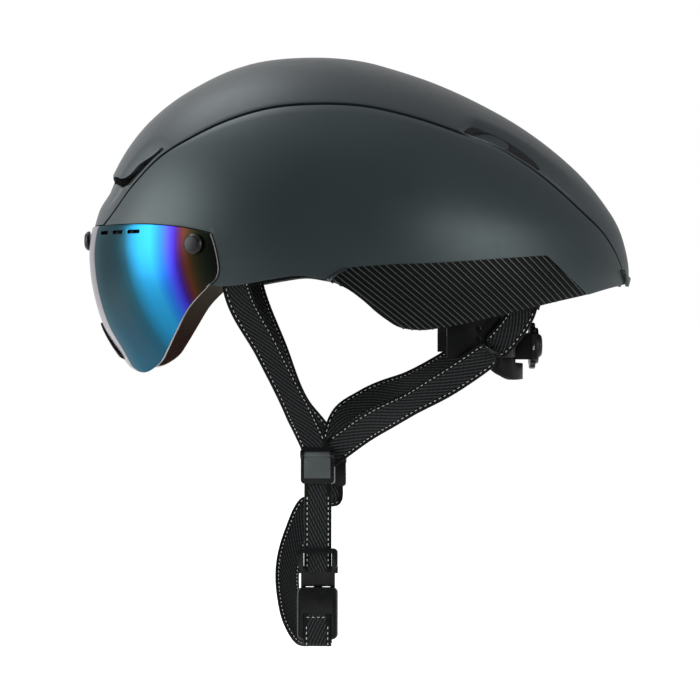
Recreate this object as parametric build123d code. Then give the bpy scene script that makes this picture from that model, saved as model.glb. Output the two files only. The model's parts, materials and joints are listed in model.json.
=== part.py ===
from build123d import *
import math
import os

# Aero time trial helmet, in millimetres. The origin is the middle of the wearer's head at brow
# level. The face looks along -X, the tail points along +X, the wearer's left is -Y, up is +Z.

# Outer shell, driving sizes
front_reach = 127.4
rear_reach = 177.6
half_width = 103.0
crown_height = 103.0
apex_x = -2.0
skin_wall = 2.0
seam_gap = 1.3
skin_gap = 0.2
fit_gap = 0.3
press_gap = 0.05
overrun = 40.0
side_flare_share = 0.06
tail_taper_share = 0.12

# The shell's level rings: height as a share of the crown height, then the front reach,
# the half width and the rear reach as shares of theirs
ring_shares = [
    (-0.796, 0.790, 0.790, 0.800), (-0.631, 0.868, 0.862, 0.880), (-0.485, 0.934, 0.918, 0.945),
    (-0.340, 0.973, 0.960, 0.985), (-0.194, 0.995, 0.988, 1.000), (-0.048, 1.000, 1.000, 0.988),
    (0.078, 0.984, 0.997, 0.963), (0.194, 0.955, 0.980, 0.921), (0.340, 0.909, 0.937, 0.852),
    (0.485, 0.846, 0.870, 0.760), (0.621, 0.762, 0.778, 0.652), (0.748, 0.648, 0.660, 0.522),
    (0.854, 0.512, 0.520, 0.388), (0.932, 0.378, 0.375, 0.257), (0.981, 0.230, 0.225, 0.148),
    (0.998, 0.080, 0.078, 0.052),
]
ring_points = 16

# Side-view outlines. Each point is a share of the front or rear reach from the apex,
# and a share of the crown height.
seam_shares = [
    (-0.925, 0.066), (-0.8995, 0.096), (-0.772, 0.286), (-0.647, 0.434), (-0.507, 0.532),
    (-0.362, 0.613), (-0.174, 0.678), (-0.009, 0.696), (0.138, 0.689), (0.309, 0.627),
    (0.460, 0.542), (0.544, 0.492), (0.663, 0.373), (0.815, 0.159), (0.908, 0.008),
    (0.952, -0.115), (0.978, -0.270),
]
edge_shares = [
    (-0.440, -0.250), (-0.358, -0.252), (-0.286, -0.243), (-0.169, -0.218), (-0.054, -0.201),
    (0.040, -0.221), (0.0985, -0.269), (0.158, -0.344), (0.205, -0.415), (0.251, -0.467),
    (0.310, -0.485), (0.403, -0.468), (0.528, -0.423), (0.648, -0.376), (0.748, -0.336),
    (0.840, -0.302), (0.918, -0.267), (1.020, -0.232),
]
brow_edge_shares = [(-1.150, -0.118), (-0.700, -0.122), (-0.560, -0.150)]
panel_top_shares = [
    (0.040, -0.221), (0.078, -0.178), (0.196, -0.148), (0.362, -0.136), (0.489, -0.122),
    (0.618, -0.106), (0.704, -0.095),
]
panel_rear_shares = [(0.704, -0.095), (0.762, -0.183), (0.842, -0.305)]
lens_top_shares = [
    (-1.180, 0.064), (-0.824, 0.064), (-0.704, 0.061), (-0.613, 0.052), (-0.535, 0.040),
    (-0.480, 0.026), (-0.423, 0.009),
]
lens_rear_shares = [
    (-0.423, 0.009), (-0.404, -0.070), (-0.394, -0.134), (-0.392, -0.186), (-0.400, -0.218),
    (-0.432, -0.258),
]
lens_bottom_shares = [
    (-0.432, -0.258), (-0.516, -0.369), (-0.581, -0.509), (-0.619, -0.596), (-0.651, -0.659),
    (-0.680, -0.690), (-0.729, -0.718), (-0.770, -0.712), (-0.805, -0.692), (-0.832, -0.661),
    (-0.900, -0.640), (-1.180, -0.600),
]
lens_middle_share = (-0.700, -0.250)

# Visor, its bezel and its magnets
lens_step = 1.2
lens_wall = 2.0
bezel_inset = 3.6
bezel_wall = 2.0
visor_gap = 0.6
nose_half_width = 22.0
nose_top = -51.3
nose_foot = -74.0
nose_lean_share = 0.35
nose_trim_wall = 1.6
nose_trim_depth = 4.2
lens_slot_level = 2.7
lens_slot_height = 2.0
lens_slot_length = 10.0
lens_slot_angle_shares = [0.279, 0.367, 0.448]
magnet_radius = 4.0
magnet_depth = 1.5
cap_radius = 5.5
cap_crown_radius = 3.9
cap_height = 3.3
magnet_side_share = -0.4906
magnet_side_level = -4.5
magnet_front_level = -0.6

# Vents
front_vent_shares = [
    (0.045, 0.190), (0.290, 0.205), (0.440, 0.262), (0.545, 0.375), (0.585, 0.452),
    (0.500, 0.455), (0.370, 0.388), (0.045, 0.335),
]
front_vent_stop_share = -0.62
rear_vent_y = 52.0
rear_vent_width = 12.0
rear_vent_level = 52.5
rear_vent_height = 9.0
rear_vent_start_share = 0.26
channel_y = 36.0
channel_width = 18.0
channel_depth = 9.0

# Head cavity in the foam and the pads on its wall
cavity_x = -7.0
cavity_half_length = 98.0
cavity_half_width = 78.0
cavity_height = 76.0
cavity_foot = -90.0
cavity_level_shares = [0.0, 0.25, 0.47, 0.66, 0.80, 0.90, 0.965, 0.995]
pad_wall = 5.0
pocket_wall = 6.0
pocket_start = 40.0
pocket_end = 150.0
pocket_top = 18.0
brow_pad_reach = 62.0
brow_pad_foot = -4.0
brow_pad_head = 14.0
crown_pad_level = 56.0
crown_pad_width = 18.0
crown_pad_pitch = 26.0
side_pad_foot = 14.0
side_pad_head = 34.0
side_pad_half_length = 34.0

# Head band: two arms that tilt on temple pins
temple_x = -55.0
temple_z = -10.0
temple_pin_radius = 3.0
temple_head_radius = 5.0
temple_head_wall = 1.6
temple_boss_radius = 6.0
temple_boss_depth = 11.0
arm_wall = 1.6
arm_height = 8.0
arm_boss_radius = 7.0
arm_side_gap = 0.6
arm_head_gap = 2.4
arm_end_x = 82.0
arm_straight_x = 54.0
arm_drop_shares = [(0.0, 0.0), (0.33, 0.08), (0.56, 0.34), (0.70, 0.76), (0.78, 1.0)]
arm_level = -45.0
arm_face_y = 61.0
arm_plan_shares = [(-0.575, 0.790), (-0.490, 0.846), (-0.235, 0.938), (0.0, 0.962), (0.275, 0.918),
                   (0.480, 0.838)]

# Nape cradle
sleeve_wall = 1.3
sleeve_start = 69.5
sleeve_end = 98.5
band_top = -53.5
band_foot = -65.4
band_wall = 2.2
band_turn_x = 88.0
band_rear_x = 109.0
band_bend_share = 1.1
band_back_share = 1.5
lobe_radius = 31.0
lobe_rear_x = 115.5
lobe_half_width = 26.0
lobe_leg_y = 17.5
lobe_foot = -79.0
lobe_slit_foot = -70.2
lobe_corner = 8.0
sleeve_hole_radius = 1.5
sleeve_hole_x = 86.4
sleeve_hole_levels = (-49.6, -55.2)
nape_pad_wall = 3.0
nape_pad_half_width = 17.0

# Dial drive
dial_level = -60.2
housing_half_width = 31.0
housing_half_height = 7.0
housing_front_x = 109.3
housing_wall = 2.4
cover_wall = 1.2
tooth_module = 0.6
pinion_teeth = 12
tooth_top_share = 0.85
tooth_root_share = 1.10
tooth_half_share = 0.56
tooth_tip_share = 0.26
tooth_foot_share = 0.86
rack_back = 1.35
rack_depth = 4.0
rack_tail = 6.0
rack_reach = 27.0
shaft_radius = 2.5
knob_radius = 13.1
knob_wall = 2.9
knob_gap = 0.6
knob_notches = 18
knob_notch_radius = 1.1
knob_step_radius = 10.2
knob_step_wall = 1.8
knob_cap_radius = 6.6
knob_cap_wall = 2.3
cheek_y = 14.4
cheek_wall = 4.0
cheek_depth = 3.3
screw_radius = 1.0
screw_head_radius = 1.9
screw_head_wall = 1.1
screw_y = 25.5

# Webbing, dividers and buckle
web_width = 15.0
web_wall = 1.4
near_pivot = (-0.5, -45.0, -133.0)
far_pivot = (5.5, 45.0, -142.5)
divider_half_width = 9.2
divider_foot = -2.0
divider_head = 18.0
divider_half_wall = 3.1
divider_corner = 2.2
mouth_half_wall = 1.1
lever_half_width = 7.2
lever_wall = 1.8
lever_foot = 1.0
lever_hinge_v = 14.0
lever_hinge_n = 5.0
lever_barrel_radius = 1.5
lever_pin_radius = 0.8
ear_radius = 2.2
anchor_length = 6.0
anchor_cap = 2.0
anchor_wall = 1.2
strap_slot_gap = 0.6
plug_head = -37.0
plug_half_width = 10.9
plug_bar = 2.6
plug_neck = -48.0
plug_half_wall = 2.7
plug_corner = 2.4
prong_foot = -73.0
prong_width = 2.6
prong_half_span = 9.3
guide_half_width = 2.4
strap_end = -50.0
socket_head = -58.0
socket_foot = -86.2
socket_half_width = 11.0
socket_half_wall = 3.75
socket_corner = 3.0
socket_recess_half = 7.8
patch_head = -72.5
slot_head = -79.0
bar_radius = 2.2
bar_gap = 0.1

# Routes of the straps, each point chosen by eye along the webbing's middle
near_front_route = [(-44.5, -83.0, -15), (-42.0, -79.5, -27), (-29, -67, -61), (-16, -55.5, -92)]
far_front_route = [(-44.5, 83.0, -15), (-42, 79.5, -27), (-27, 69, -64), (-13, 57, -98)]
near_rear_route = [(113, -61.8, -31), (109, -65.0, -42), (97, -66.2, -58), (77, -66.2, -73.5),
                   (50, -62, -90)]
far_rear_route = [(113, 61.8, -31), (109, 65.4, -42), (97, 67.2, -58), (78, 67.4, -71),
                  (52, 63.6, -84)]
front_end_route = [(-8, 26, 3.2), (-5, 19, 1.8), (-1.5, 10, 0.9)]
near_rear_end_route = [(26, 28, 7.0), (14, 20, 1.2), (3, 12, -0.9)]
far_rear_end_route = [(20, 46, 7.4), (9, 36, 3.0), (5, 26, 0.6), (2.5, 17, -0.9), (2, 12, -0.9)]
chin_route = [(-6, 33, -155), (-14, 20, -170), (-18.5, 3, -187), (-17, -16, -203), (-12.5, -31, -214)]
chin_start_route = [(-4, -89.0, -8.5), (0, -89.4, -3.0)]

# The way that a strap's width lies at each point of its route
front_turn_route = [(0.90, 0.30, 0.25), (0.90, 0.30, 0.25), (0.88, 0.35, 0.30), (0.92, 0.30, 0.30)]
rear_turn_route = [(0.93, 0.37, 0), (0.95, 0.05, 0.3), (0.8, 0, 0.6), (0.5, 0, 0.8), (0.5, 0.10, 0.8)]
front_end_turn_route = [(0.95, 0.3, 0), (1, 0.25, 0), (1, 0, 0)]
near_rear_end_turn_route = [(-0.5, 0.85, 0), (-0.6, 0.8, 0), (-0.8, 0.6, 0)]
far_rear_end_turn_route = [(-0.64, 0.77, 0), (-0.8, 0.6, 0), (-0.9, 0.4, 0), (-0.97, 0.2, 0), (-1, 0.1, 0)]
chin_turn_route = [(1, 0.2, -0.25), (1, 0.3, -0.45), (1, 0.3, -0.45), (1, 0.25, -0.35), (1, 0.1, -0.15),
                   (1, 0.05, -0.05)]
wrap_steps = 6


def side_point(share):
    """A side-view point at a share of the shell's reaches."""
    reach = front_reach if share[0] < 0 else rear_reach
    return Vector(apex_x + share[0] * reach, 0, share[1] * crown_height)


def ring(height, front, side, rear, inset):
    """One closed level ring of the shell, moved inwards by the inset."""
    level = height * (crown_height - inset if height > 0 else crown_height)
    points = []
    for step in range(ring_points):
        turn = 2 * math.pi * step / ring_points
        along, across = math.sin(turn), math.cos(turn)
        reach = (rear_reach - inset) * rear if along > 0 else (front_reach - inset) * front
        bulge = -tail_taper_share if along > 0 else side_flare_share
        y = (half_width - inset) * side * across * (1 + bulge * along * along)
        points.append(Vector(apex_x + reach * along, y, level))
    return Wire([Edge.make_spline(points, periodic=True)])


def dome(inset):
    """The helmet's closed outer form, moved inwards by the inset."""
    return Solid.make_loft([ring(*shares, inset) for shares in ring_shares])


def prism(*edges):
    """A side-view outline pushed out to both sides of the helmet."""
    return extrude(make_face(edges), amount=half_width + overrun, dir=(0, 1, 0), both=True)


def block(low, high):
    """A box between two corners."""
    size = [b - a for a, b in zip(low, high)]
    middle = [(a + b) / 2 for a, b in zip(low, high)]
    return Pos(*middle) * Box(*size)


def largest(shape, count=1):
    """The largest solids of a shape."""
    return sorted(shape.solids(), key=lambda one: -one.volume)[:count]


def mirrored(shape):
    """The same piece on the wearer's other side."""
    return mirror(shape, about=Plane.XZ)


def group(pieces):
    """Separate solids in one node."""
    return Compound([solid for piece in pieces for solid in piece.solids()])


# Side-view regions
high = crown_height + overrun
low = -crown_height
ahead = apex_x - front_reach - overrun
behind = apex_x + rear_reach + overrun
seam_line = Spline(*[side_point(s) for s in seam_shares])
above_seam = prism(seam_line, Polyline(
    side_point(seam_shares[-1]), (behind, 0, side_point(seam_shares[-1]).Z), (behind, 0, high),
    (ahead, 0, high), (ahead, 0, side_point(seam_shares[0]).Z), side_point(seam_shares[0])))
below_seam = block((ahead, -high, low - overrun), (behind, high, high)) - Pos(0, 0, -seam_gap) * above_seam
edge_line = Spline(*[side_point(s) for s in edge_shares])
brow_edge = Polyline(*[side_point(s) for s in brow_edge_shares], side_point(edge_shares[0]))
body_region = prism(edge_line, brow_edge, Polyline(
    side_point(edge_shares[-1]), (behind, 0, side_point(edge_shares[-1]).Z), (behind, 0, high),
    (side_point(brow_edge_shares[0]).X, 0, high), side_point(brow_edge_shares[0])))


def lens_prism(gap):
    """The visor's outline through the helmet, with each point moved outwards by the gap."""
    middle = side_point(lens_middle_share)
    lines = []
    for shares in (lens_top_shares, lens_rear_shares, lens_bottom_shares):
        points = [side_point(share) for share in shares]
        lines.append([point + (point - middle).normalized() * gap for point in points])
    splines = [Spline(*points) for points in lines]
    return prism(*splines, Line(lines[-1][-1], lines[0][0]))


lens_region = lens_prism(0)
recess_region = lens_prism(visor_gap)
panel_foot = side_point(panel_rear_shares[-1])
panel_region = prism(
    Spline(*[side_point(s) for s in panel_top_shares]), Polyline(*[side_point(s) for s in panel_rear_shares]),
    Polyline(panel_foot, (panel_foot.X, 0, low), (side_point(panel_top_shares[0]).X, 0, low),
             side_point(panel_top_shares[0])))

# Closed forms at the depths of the skins
outer_form = dome(0)
skin_form = dome(skin_wall)
foam_form = dome(skin_wall + skin_gap)
skin = (outer_form - skin_form) & body_region
skin = skin - recess_region


def cavity(extra):
    """The head space in the foam, grown outwards by extra."""
    rings = []
    for share in cavity_level_shares:
        swell = math.sqrt(1 - share * share)
        plane = Plane(origin=(cavity_x, 0, share * (cavity_height + extra)))
        rings.append((plane * Ellipse((cavity_half_length + extra) * swell,
                                      (cavity_half_width + extra) * swell)).wire())
    roof = Solid.make_loft(rings)
    foot = Pos(cavity_x, 0, cavity_foot) * extrude(
        Ellipse(cavity_half_length + extra, cavity_half_width + extra), amount=-cavity_foot)
    return roof + foot


def front_vent():
    """The mouth of one front vent, seen from the front, cut back into the foam."""
    points = [(ahead, -y * half_width, z * crown_height) for y, z in front_vent_shares]
    face = make_face(Polyline(*points, close=True))
    stop = apex_x + front_vent_stop_share * front_reach
    return extrude(face, amount=stop - ahead, dir=(1, 0, 0))


def rear_vent():
    """The slot of one rear vent, cut forwards from the tail's slope."""
    start = apex_x + rear_vent_start_share * rear_reach
    profile = Plane.YZ.offset(start) * Pos(-rear_vent_y, rear_vent_level) * SlotOverall(
        rear_vent_width, rear_vent_height - skin_gap)
    return extrude(profile, amount=rear_reach, dir=(1, 0, 0))


vents = []
for vent in (front_vent(), rear_vent()):
    vents += [vent, mirrored(vent)]

# Skins: the crown band, the two sides and the two ribbed panels
crown_shell = skin & above_seam
sides = (skin & below_seam) - panel_region
for vent in vents:
    crown_shell = crown_shell - vent
    sides = sides - vent
crown_shell = largest(crown_shell)[0]
side_shells = largest(sides, 2)
left_side_shell = min(side_shells, key=lambda one: one.center().Y)
right_side_shell = max(side_shells, key=lambda one: one.center().Y)
panel_inset = skin_wall / 3
panel_skin = ((dome(panel_inset) - skin_form) & body_region) & panel_region
panel_pair = largest(panel_skin, 2)
left_rib_panel = min(panel_pair, key=lambda one: one.center().Y)
right_rib_panel = max(panel_pair, key=lambda one: one.center().Y)

# Bezel: the step behind the visor that carries the seat magnets
bezel_form = dome(bezel_inset)
bezel_back = dome(bezel_inset + bezel_wall)
bezel = ((bezel_form - bezel_back) & body_region) & lens_region


def magnet_planes(depth):
    """Where the three magnets sit: the outward plane at each, at a depth under the outer form."""
    planes = [Plane(origin=(apex_x - front_reach, 0, magnet_front_level), z_dir=(-1, 0, 0))]
    along = magnet_side_share
    across = math.sqrt(1 - along * along)
    bulge = 1 + side_flare_share * along * along
    for side in (-1, 1):
        y = side * half_width * across * bulge
        slope = (half_width / front_reach) * along / across
        planes.append(Plane(origin=(apex_x + front_reach * along, y, magnet_side_level),
                            z_dir=(slope, side, 0)))
    return [plane.offset(-depth) for plane in planes]


def discs(depth, radius, wall):
    """Three discs on the magnet places, each as thick as wall, outwards from the depth."""
    return [plane * extrude(Circle(radius), amount=wall) for plane in magnet_planes(depth)]


seat_depth = bezel_inset + magnet_depth
seat_magnets = discs(seat_depth, magnet_radius, magnet_depth - fit_gap)
for hole in discs(seat_depth + press_gap, magnet_radius + press_gap, magnet_depth + overrun):
    bezel = bezel - hole
bezel = largest(bezel)[0]

# Foam liner
foam = foam_form & body_region
foam = foam - (recess_region - dome(bezel_inset + bezel_wall + skin_gap))
foam = foam - cavity(0)
pocket = dome(skin_wall + pocket_wall) & block(
    (pocket_start, -half_width, low), (pocket_end, half_width, pocket_top))
foam = foam - pocket
channel_form = cavity(channel_depth)
for side in (-1, 1):
    middle = side * channel_y
    foam = foam - (channel_form & block((ahead, middle - channel_width / 2, 0),
                                        (behind, middle + channel_width / 2, high)))
for vent in vents:
    foam = foam - vent


def ribbon(route, across, width, wall):
    """A flat band along a route. Across gives the band's width direction at each point."""
    wires = []
    points = [Vector(*p) for p in route]
    for i, point in enumerate(points):
        along = points[min(i + 1, len(points) - 1)] - points[max(i - 1, 0)]
        along = along.normalized()
        wide = Vector(*across[i])
        wide = (wide - along * wide.dot(along)).normalized()
        thick = along.cross(wide)
        a, b = wide * (width / 2), thick * (wall / 2)
        wires.append(Wire.make_polygon([point + a + b, point - a + b, point - a - b, point + a - b]))
    return Solid.make_loft(wires, ruled=True)


# Webbing between the shell and the dividers
swing_axis = (Vector(*far_pivot) - Vector(*near_pivot)).normalized()
near_frame = Plane(origin=near_pivot, x_dir=(1, 0, 0), z_dir=-swing_axis)
far_frame = Plane(origin=far_pivot, x_dir=(-1, 0, 0), z_dir=swing_axis)


def strap_line(route, turn, frame, end_route, end_turn):
    """A strap's whole route and width directions, ending in a divider's local frame."""
    side = 1 if route[0][1] > 0 else -1
    points = [Vector(*p) for p in route]
    wides = [Vector(x, -side * y, z) for x, y, z in turn]
    for (u, v, n), (a, b, c) in zip(end_route, end_turn):
        points.append(frame.from_local_coords(Vector(-side * u, v, n)))
        wide = frame.from_local_coords(Vector(-side * a, b, c)) - frame.origin
        wides.append(wide)
    return points, wides


lines = [
    strap_line(near_front_route, front_turn_route, near_frame, front_end_route, front_end_turn_route),
    strap_line(far_front_route, front_turn_route, far_frame, front_end_route, front_end_turn_route),
    strap_line(near_rear_route, rear_turn_route, near_frame, near_rear_end_route, near_rear_end_turn_route),
    strap_line(far_rear_route, rear_turn_route, far_frame, far_rear_end_route, far_rear_end_turn_route),
]
straps = [ribbon(points, wides, web_width, web_wall) for points, wides in lines]
left_front_strap, right_front_strap, left_rear_strap, right_rear_strap = straps
strap_anchors = []
for (points, wides), strap in zip(lines, straps):
    along = (points[0] - points[1]).normalized()
    ends = [points[0] + along * anchor_cap, points[0] - along * anchor_length]
    anchor_wide = web_width + 2 * anchor_wall
    anchor_thick = web_wall + 2 * anchor_wall
    plate_solid = ribbon(ends, wides[:2], anchor_wide, anchor_thick)
    strap_anchors.append(largest((plate_solid - strap) & foam_form)[0])
    foam = foam - ribbon(ends, wides[:2], anchor_wide + 2 * press_gap, anchor_thick + 2 * press_gap)
    slot_ends = [points[0], points[0] - along * overrun]
    foam = foam - ribbon(slot_ends, wides[:2], web_width + 2 * strap_slot_gap,
                         web_wall + 2 * strap_slot_gap)

# Temple pins: a boss in the foam, a pin through the arm and a head that traps it
boss_face = arm_plan_shares[1][1] * cavity_half_width + arm_wall + arm_side_gap
arm_inner = arm_plan_shares[1][1] * cavity_half_width - arm_wall - arm_head_gap
turn_to_side = Rotation(90, 0, 0)


def side_cylinder(radius, near, far_end, x, z):
    """A cylinder across the helmet on the wearer's left, between two distances from the middle."""
    length = far_end - near
    return Pos(x, -(near + far_end) / 2, z) * turn_to_side * Cylinder(radius, length)


boss_end = boss_face + temple_boss_depth
temple_pin = side_cylinder(temple_boss_radius, boss_face, boss_end, temple_x, temple_z)
temple_pin = temple_pin + side_cylinder(temple_pin_radius, arm_inner, boss_face, temple_x, temple_z)
temple_pin = temple_pin + side_cylinder(
    temple_head_radius, arm_inner - temple_head_wall, arm_inner, temple_x, temple_z)
boss_hole = side_cylinder(temple_boss_radius + press_gap, boss_face - overrun, boss_end + press_gap,
                          temple_x, temple_z)
foam = foam - boss_hole - mirrored(boss_hole)
foam = largest(foam)[0]

# Pads on the cavity wall
pad_outer = cavity(-fit_gap)
pad_inner = cavity(-fit_gap - pad_wall)
pad_shell = pad_outer - pad_inner
brow_pad = largest(pad_shell & block((ahead, -half_width, brow_pad_foot),
                                     (cavity_x - brow_pad_reach, half_width, brow_pad_head)))[0]
crown_pads = []
for place in (-1, 0, 1):
    middle = place * crown_pad_pitch
    crown_pads += largest(pad_shell & block((ahead, middle - crown_pad_width / 2, crown_pad_level),
                                            (behind, middle + crown_pad_width / 2, high)))
side_pads = largest(pad_shell & block((cavity_x - side_pad_half_length, -high, side_pad_foot),
                                      (cavity_x + side_pad_half_length, high, side_pad_head)), 2)

# Head band arms
def cavity_point(share):
    """A plan point at shares of the head cavity's half length and half width."""
    return Vector(cavity_x + share[0] * cavity_half_length, -share[1] * cavity_half_width, low)


arm_outer = [cavity_point(s) for s in arm_plan_shares] + [Vector(arm_straight_x, -arm_face_y, low)]
arm_inner_points = [p + Vector(0, arm_wall, 0) for p in arm_outer]
arm_end_out = Vector(arm_end_x, -arm_face_y, low)
arm_end_in = arm_end_out + Vector(0, arm_wall, 0)
arm_outer_line = Spline(*arm_outer, tangents=[(1, -1, 0), (1, 0, 0)])
arm_inner_line = Spline(*arm_inner_points, tangents=[(1, -1, 0), (1, 0, 0)])
arm_plan = make_face([
    arm_outer_line, Line(arm_outer[-1], arm_end_out), Line(arm_end_out, arm_end_in),
    Line(arm_end_in, arm_inner_points[-1]), arm_inner_line, Line(arm_inner_points[0], arm_outer[0])])
arm_tall = extrude(arm_plan, amount=-low + pocket_top, dir=(0, 0, 1))
arm_half = arm_height / 2
arm_middle = [Vector(temple_x + along * (arm_end_x - temple_x), 0, temple_z - drop * (temple_z - arm_level))
              for along, drop in arm_drop_shares]
arm_upper = [point + Vector(0, 0, arm_half) for point in arm_middle]
arm_lower = [point - Vector(0, 0, arm_half) for point in arm_middle]
arm_side = prism(
    Spline(*arm_upper, tangents=[(1, 0, 0), (1, 0, 0)]),
    Polyline(arm_upper[-1], (arm_end_x + overrun, 0, arm_level + arm_half),
             (arm_end_x + overrun, 0, arm_level - arm_half), arm_lower[-1]),
    Spline(*arm_lower, tangents=[(1, 0, 0), (1, 0, 0)]), Line(arm_lower[0], arm_upper[0]))
arm_boss = side_cylinder(arm_boss_radius, 0, half_width, temple_x, temple_z)
left_arm = arm_tall & (arm_side + arm_boss)
left_arm = left_arm - side_cylinder(temple_pin_radius + press_gap, 0, half_width, temple_x, temple_z)
left_arm = largest(left_arm)[0]
right_arm = mirrored(left_arm)

# Nape cradle: sleeves for the arms, a band round the back of the head and a lower lobe
channel_out = arm_face_y + fit_gap
channel_in = arm_face_y - arm_wall - fit_gap
channel_half = arm_half + fit_gap
sleeve = block((sleeve_start, -channel_out - sleeve_wall, band_top),
               (sleeve_end, -channel_in + sleeve_wall, arm_level + channel_half + sleeve_wall))
sleeve_channel = block((sleeve_start - overrun, -channel_out, arm_level - channel_half),
                       (sleeve_end - sleeve_wall, -channel_in, arm_level + channel_half))
band_face_y = channel_out + sleeve_wall


def band_plan(inset):
    """One side of the band's plan line, moved towards the head by the inset."""
    start = Vector(sleeve_start, -band_face_y + inset, band_foot)
    bend = Vector(band_turn_x, -band_face_y + inset, band_foot)
    back = Vector(band_rear_x - inset, 0, band_foot)
    return start, bend, back


out_start, out_bend, out_back = band_plan(0)
in_start, in_bend, in_back = band_plan(band_wall)
band_face = make_face([
    Line(out_start, out_bend), Spline(out_bend, out_back, tangents=[(1, 0, 0), (0, 1, 0)],
                                      tangent_scalars=[band_bend_share, band_back_share]),
    Line(out_back, in_back),
    Spline(in_back, in_bend, tangents=[(0, -1, 0), (-1, 0, 0)],
           tangent_scalars=[band_back_share, band_bend_share]),
    Line(in_bend, in_start), Line(in_start, out_start)])
half_band = extrude(band_face, amount=band_top - band_foot, dir=(0, 0, 1)) + sleeve
half_band = half_band - sleeve_channel
for level in sleeve_hole_levels:
    half_band = half_band - side_cylinder(sleeve_hole_radius, 0, half_width, sleeve_hole_x, level)
lobe_x = lobe_rear_x - lobe_radius
lobe_tall = band_top - lobe_foot
lobe = Pos(lobe_x, 0, lobe_foot + lobe_tall / 2) * (
    Cylinder(lobe_radius, lobe_tall) - Cylinder(lobe_radius - band_wall, lobe_tall))
lobe_outline = Plane.YZ.offset(lobe_x) * Pos(0, band_top) * RectangleRounded(
    2 * lobe_half_width, 2 * lobe_tall, lobe_corner)
lobe = lobe & extrude(lobe_outline, amount=behind - lobe_x, dir=(1, 0, 0))
lobe = lobe - block((lobe_x, -lobe_leg_y, lobe_slit_foot), (behind, lobe_leg_y, band_top))
housing_rear_x = housing_front_x + housing_wall + rack_depth + 2 * fit_gap + housing_wall
housing_low = (housing_front_x, -housing_half_width, dial_level - housing_half_height)
housing_high = (housing_rear_x, housing_half_width, dial_level + housing_half_height)
housing_block = block(housing_low, housing_high)
cradle_frame = half_band + mirrored(half_band) + lobe
cradle_frame = largest(cradle_frame - housing_block)[0]
pad_form = make_face([
    Spline(Vector(band_turn_x, -band_face_y + band_wall + fit_gap, band_foot),
           Vector(band_rear_x - band_wall - fit_gap, 0, band_foot),
           Vector(band_turn_x, band_face_y - band_wall - fit_gap, band_foot),
           tangents=[(1, 0, 0), (-1, 0, 0)], tangent_scalars=[band_bend_share, band_bend_share]),
    Line(Vector(band_turn_x, band_face_y - band_wall - fit_gap, band_foot),
         Vector(band_turn_x, -band_face_y + band_wall + fit_gap, band_foot))])
nape_solid = extrude(pad_form, amount=band_top - band_foot, dir=(0, 0, 1))
nape_solid = nape_solid - Pos(-nape_pad_wall, 0, 0) * nape_solid
nape_pad = largest(nape_solid & block((band_turn_x, -nape_pad_half_width, band_foot),
                                      (behind, nape_pad_half_width, band_top)))[0]

# Dial drive: a pinion between two toothed racks, in a housing with a cover
pitch_radius = tooth_module * pinion_teeth / 2
tooth_pitch = math.pi * tooth_module
tip = tooth_top_share * tooth_module
root = tooth_root_share * tooth_module
half_tooth = tooth_half_share * tooth_module
half_tip = tooth_tip_share * tooth_module
half_foot = tooth_foot_share * tooth_module
rack_x = housing_front_x + housing_wall + fit_gap
rack_half_height = root + rack_back


def pinion():
    """The small gear on the dial's shaft."""
    gear = Pos(rack_x + rack_depth / 2, 0, dial_level) * Rotation(0, 90, 0) * Cylinder(
        pitch_radius - root, rack_depth)
    tooth = Polyline(
        (rack_x, -half_foot, dial_level + pitch_radius - root - half_tip),
        (rack_x, -half_tooth, dial_level + pitch_radius),
        (rack_x, -half_tip, dial_level + pitch_radius + tip),
        (rack_x, half_tip, dial_level + pitch_radius + tip),
        (rack_x, half_tooth, dial_level + pitch_radius),
        (rack_x, half_foot, dial_level + pitch_radius - root - half_tip), close=True)
    solid = extrude(make_face(tooth), amount=rack_depth, dir=(1, 0, 0))
    axis = Axis((0, 0, dial_level), (1, 0, 0))
    for count in range(pinion_teeth):
        gear = gear + solid.rotate(axis, 360 * count / pinion_teeth)
    return gear


def rack(tail_y, reach_y):
    """The upper rack. Its teeth point down at the pinion, and its band end is at the reach."""
    pitch_z = dial_level + pitch_radius
    low_y, high_y = min(tail_y, reach_y), max(tail_y, reach_y)
    bar = block((rack_x, low_y, pitch_z + root), (rack_x + rack_depth, high_y, pitch_z + root + rack_back))
    first = math.ceil((low_y + half_foot) / tooth_pitch - 1 / 2)
    last = math.floor((high_y - half_foot) / tooth_pitch - 1 / 2)
    for count in range(first, last + 1):
        middle = (count + 1 / 2) * tooth_pitch
        tooth = Polyline(
            (rack_x, middle - half_foot, pitch_z + root + half_tip),
            (rack_x, middle - half_tooth, pitch_z), (rack_x, middle - half_tip, pitch_z - tip),
            (rack_x, middle + half_tip, pitch_z - tip), (rack_x, middle + half_tooth, pitch_z),
            (rack_x, middle + half_foot, pitch_z + root + half_tip), close=True)
        bar = bar + extrude(make_face(tooth), amount=rack_depth, dir=(1, 0, 0))
    return bar


left_rack = rack(rack_tail, -rack_reach)
right_rack = left_rack.rotate(Axis((0, 0, dial_level), (1, 0, 0)), 180)
room_half_height = pitch_radius + root + rack_back + fit_gap
housing_room = block((rack_x - fit_gap, -housing_half_width + housing_wall, dial_level - room_half_height),
                     (rack_x + rack_depth + fit_gap, housing_half_width - housing_wall,
                      dial_level + room_half_height))
split_x = housing_rear_x - cover_wall
dial_housing = housing_block - housing_room - block(
    (split_x, -high, low), (behind, high, high))
housing_cover = housing_block & block((split_x + skin_gap, -high, low), (behind, high, high))
for side in (-1, 1):
    middle = side * (cheek_y + cheek_wall / 2)
    housing_cover = housing_cover + block(
        (split_x + skin_gap, middle - cheek_wall / 2, dial_level - housing_half_height),
        (housing_rear_x + cheek_depth, middle + cheek_wall / 2, dial_level + housing_half_height))


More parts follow.
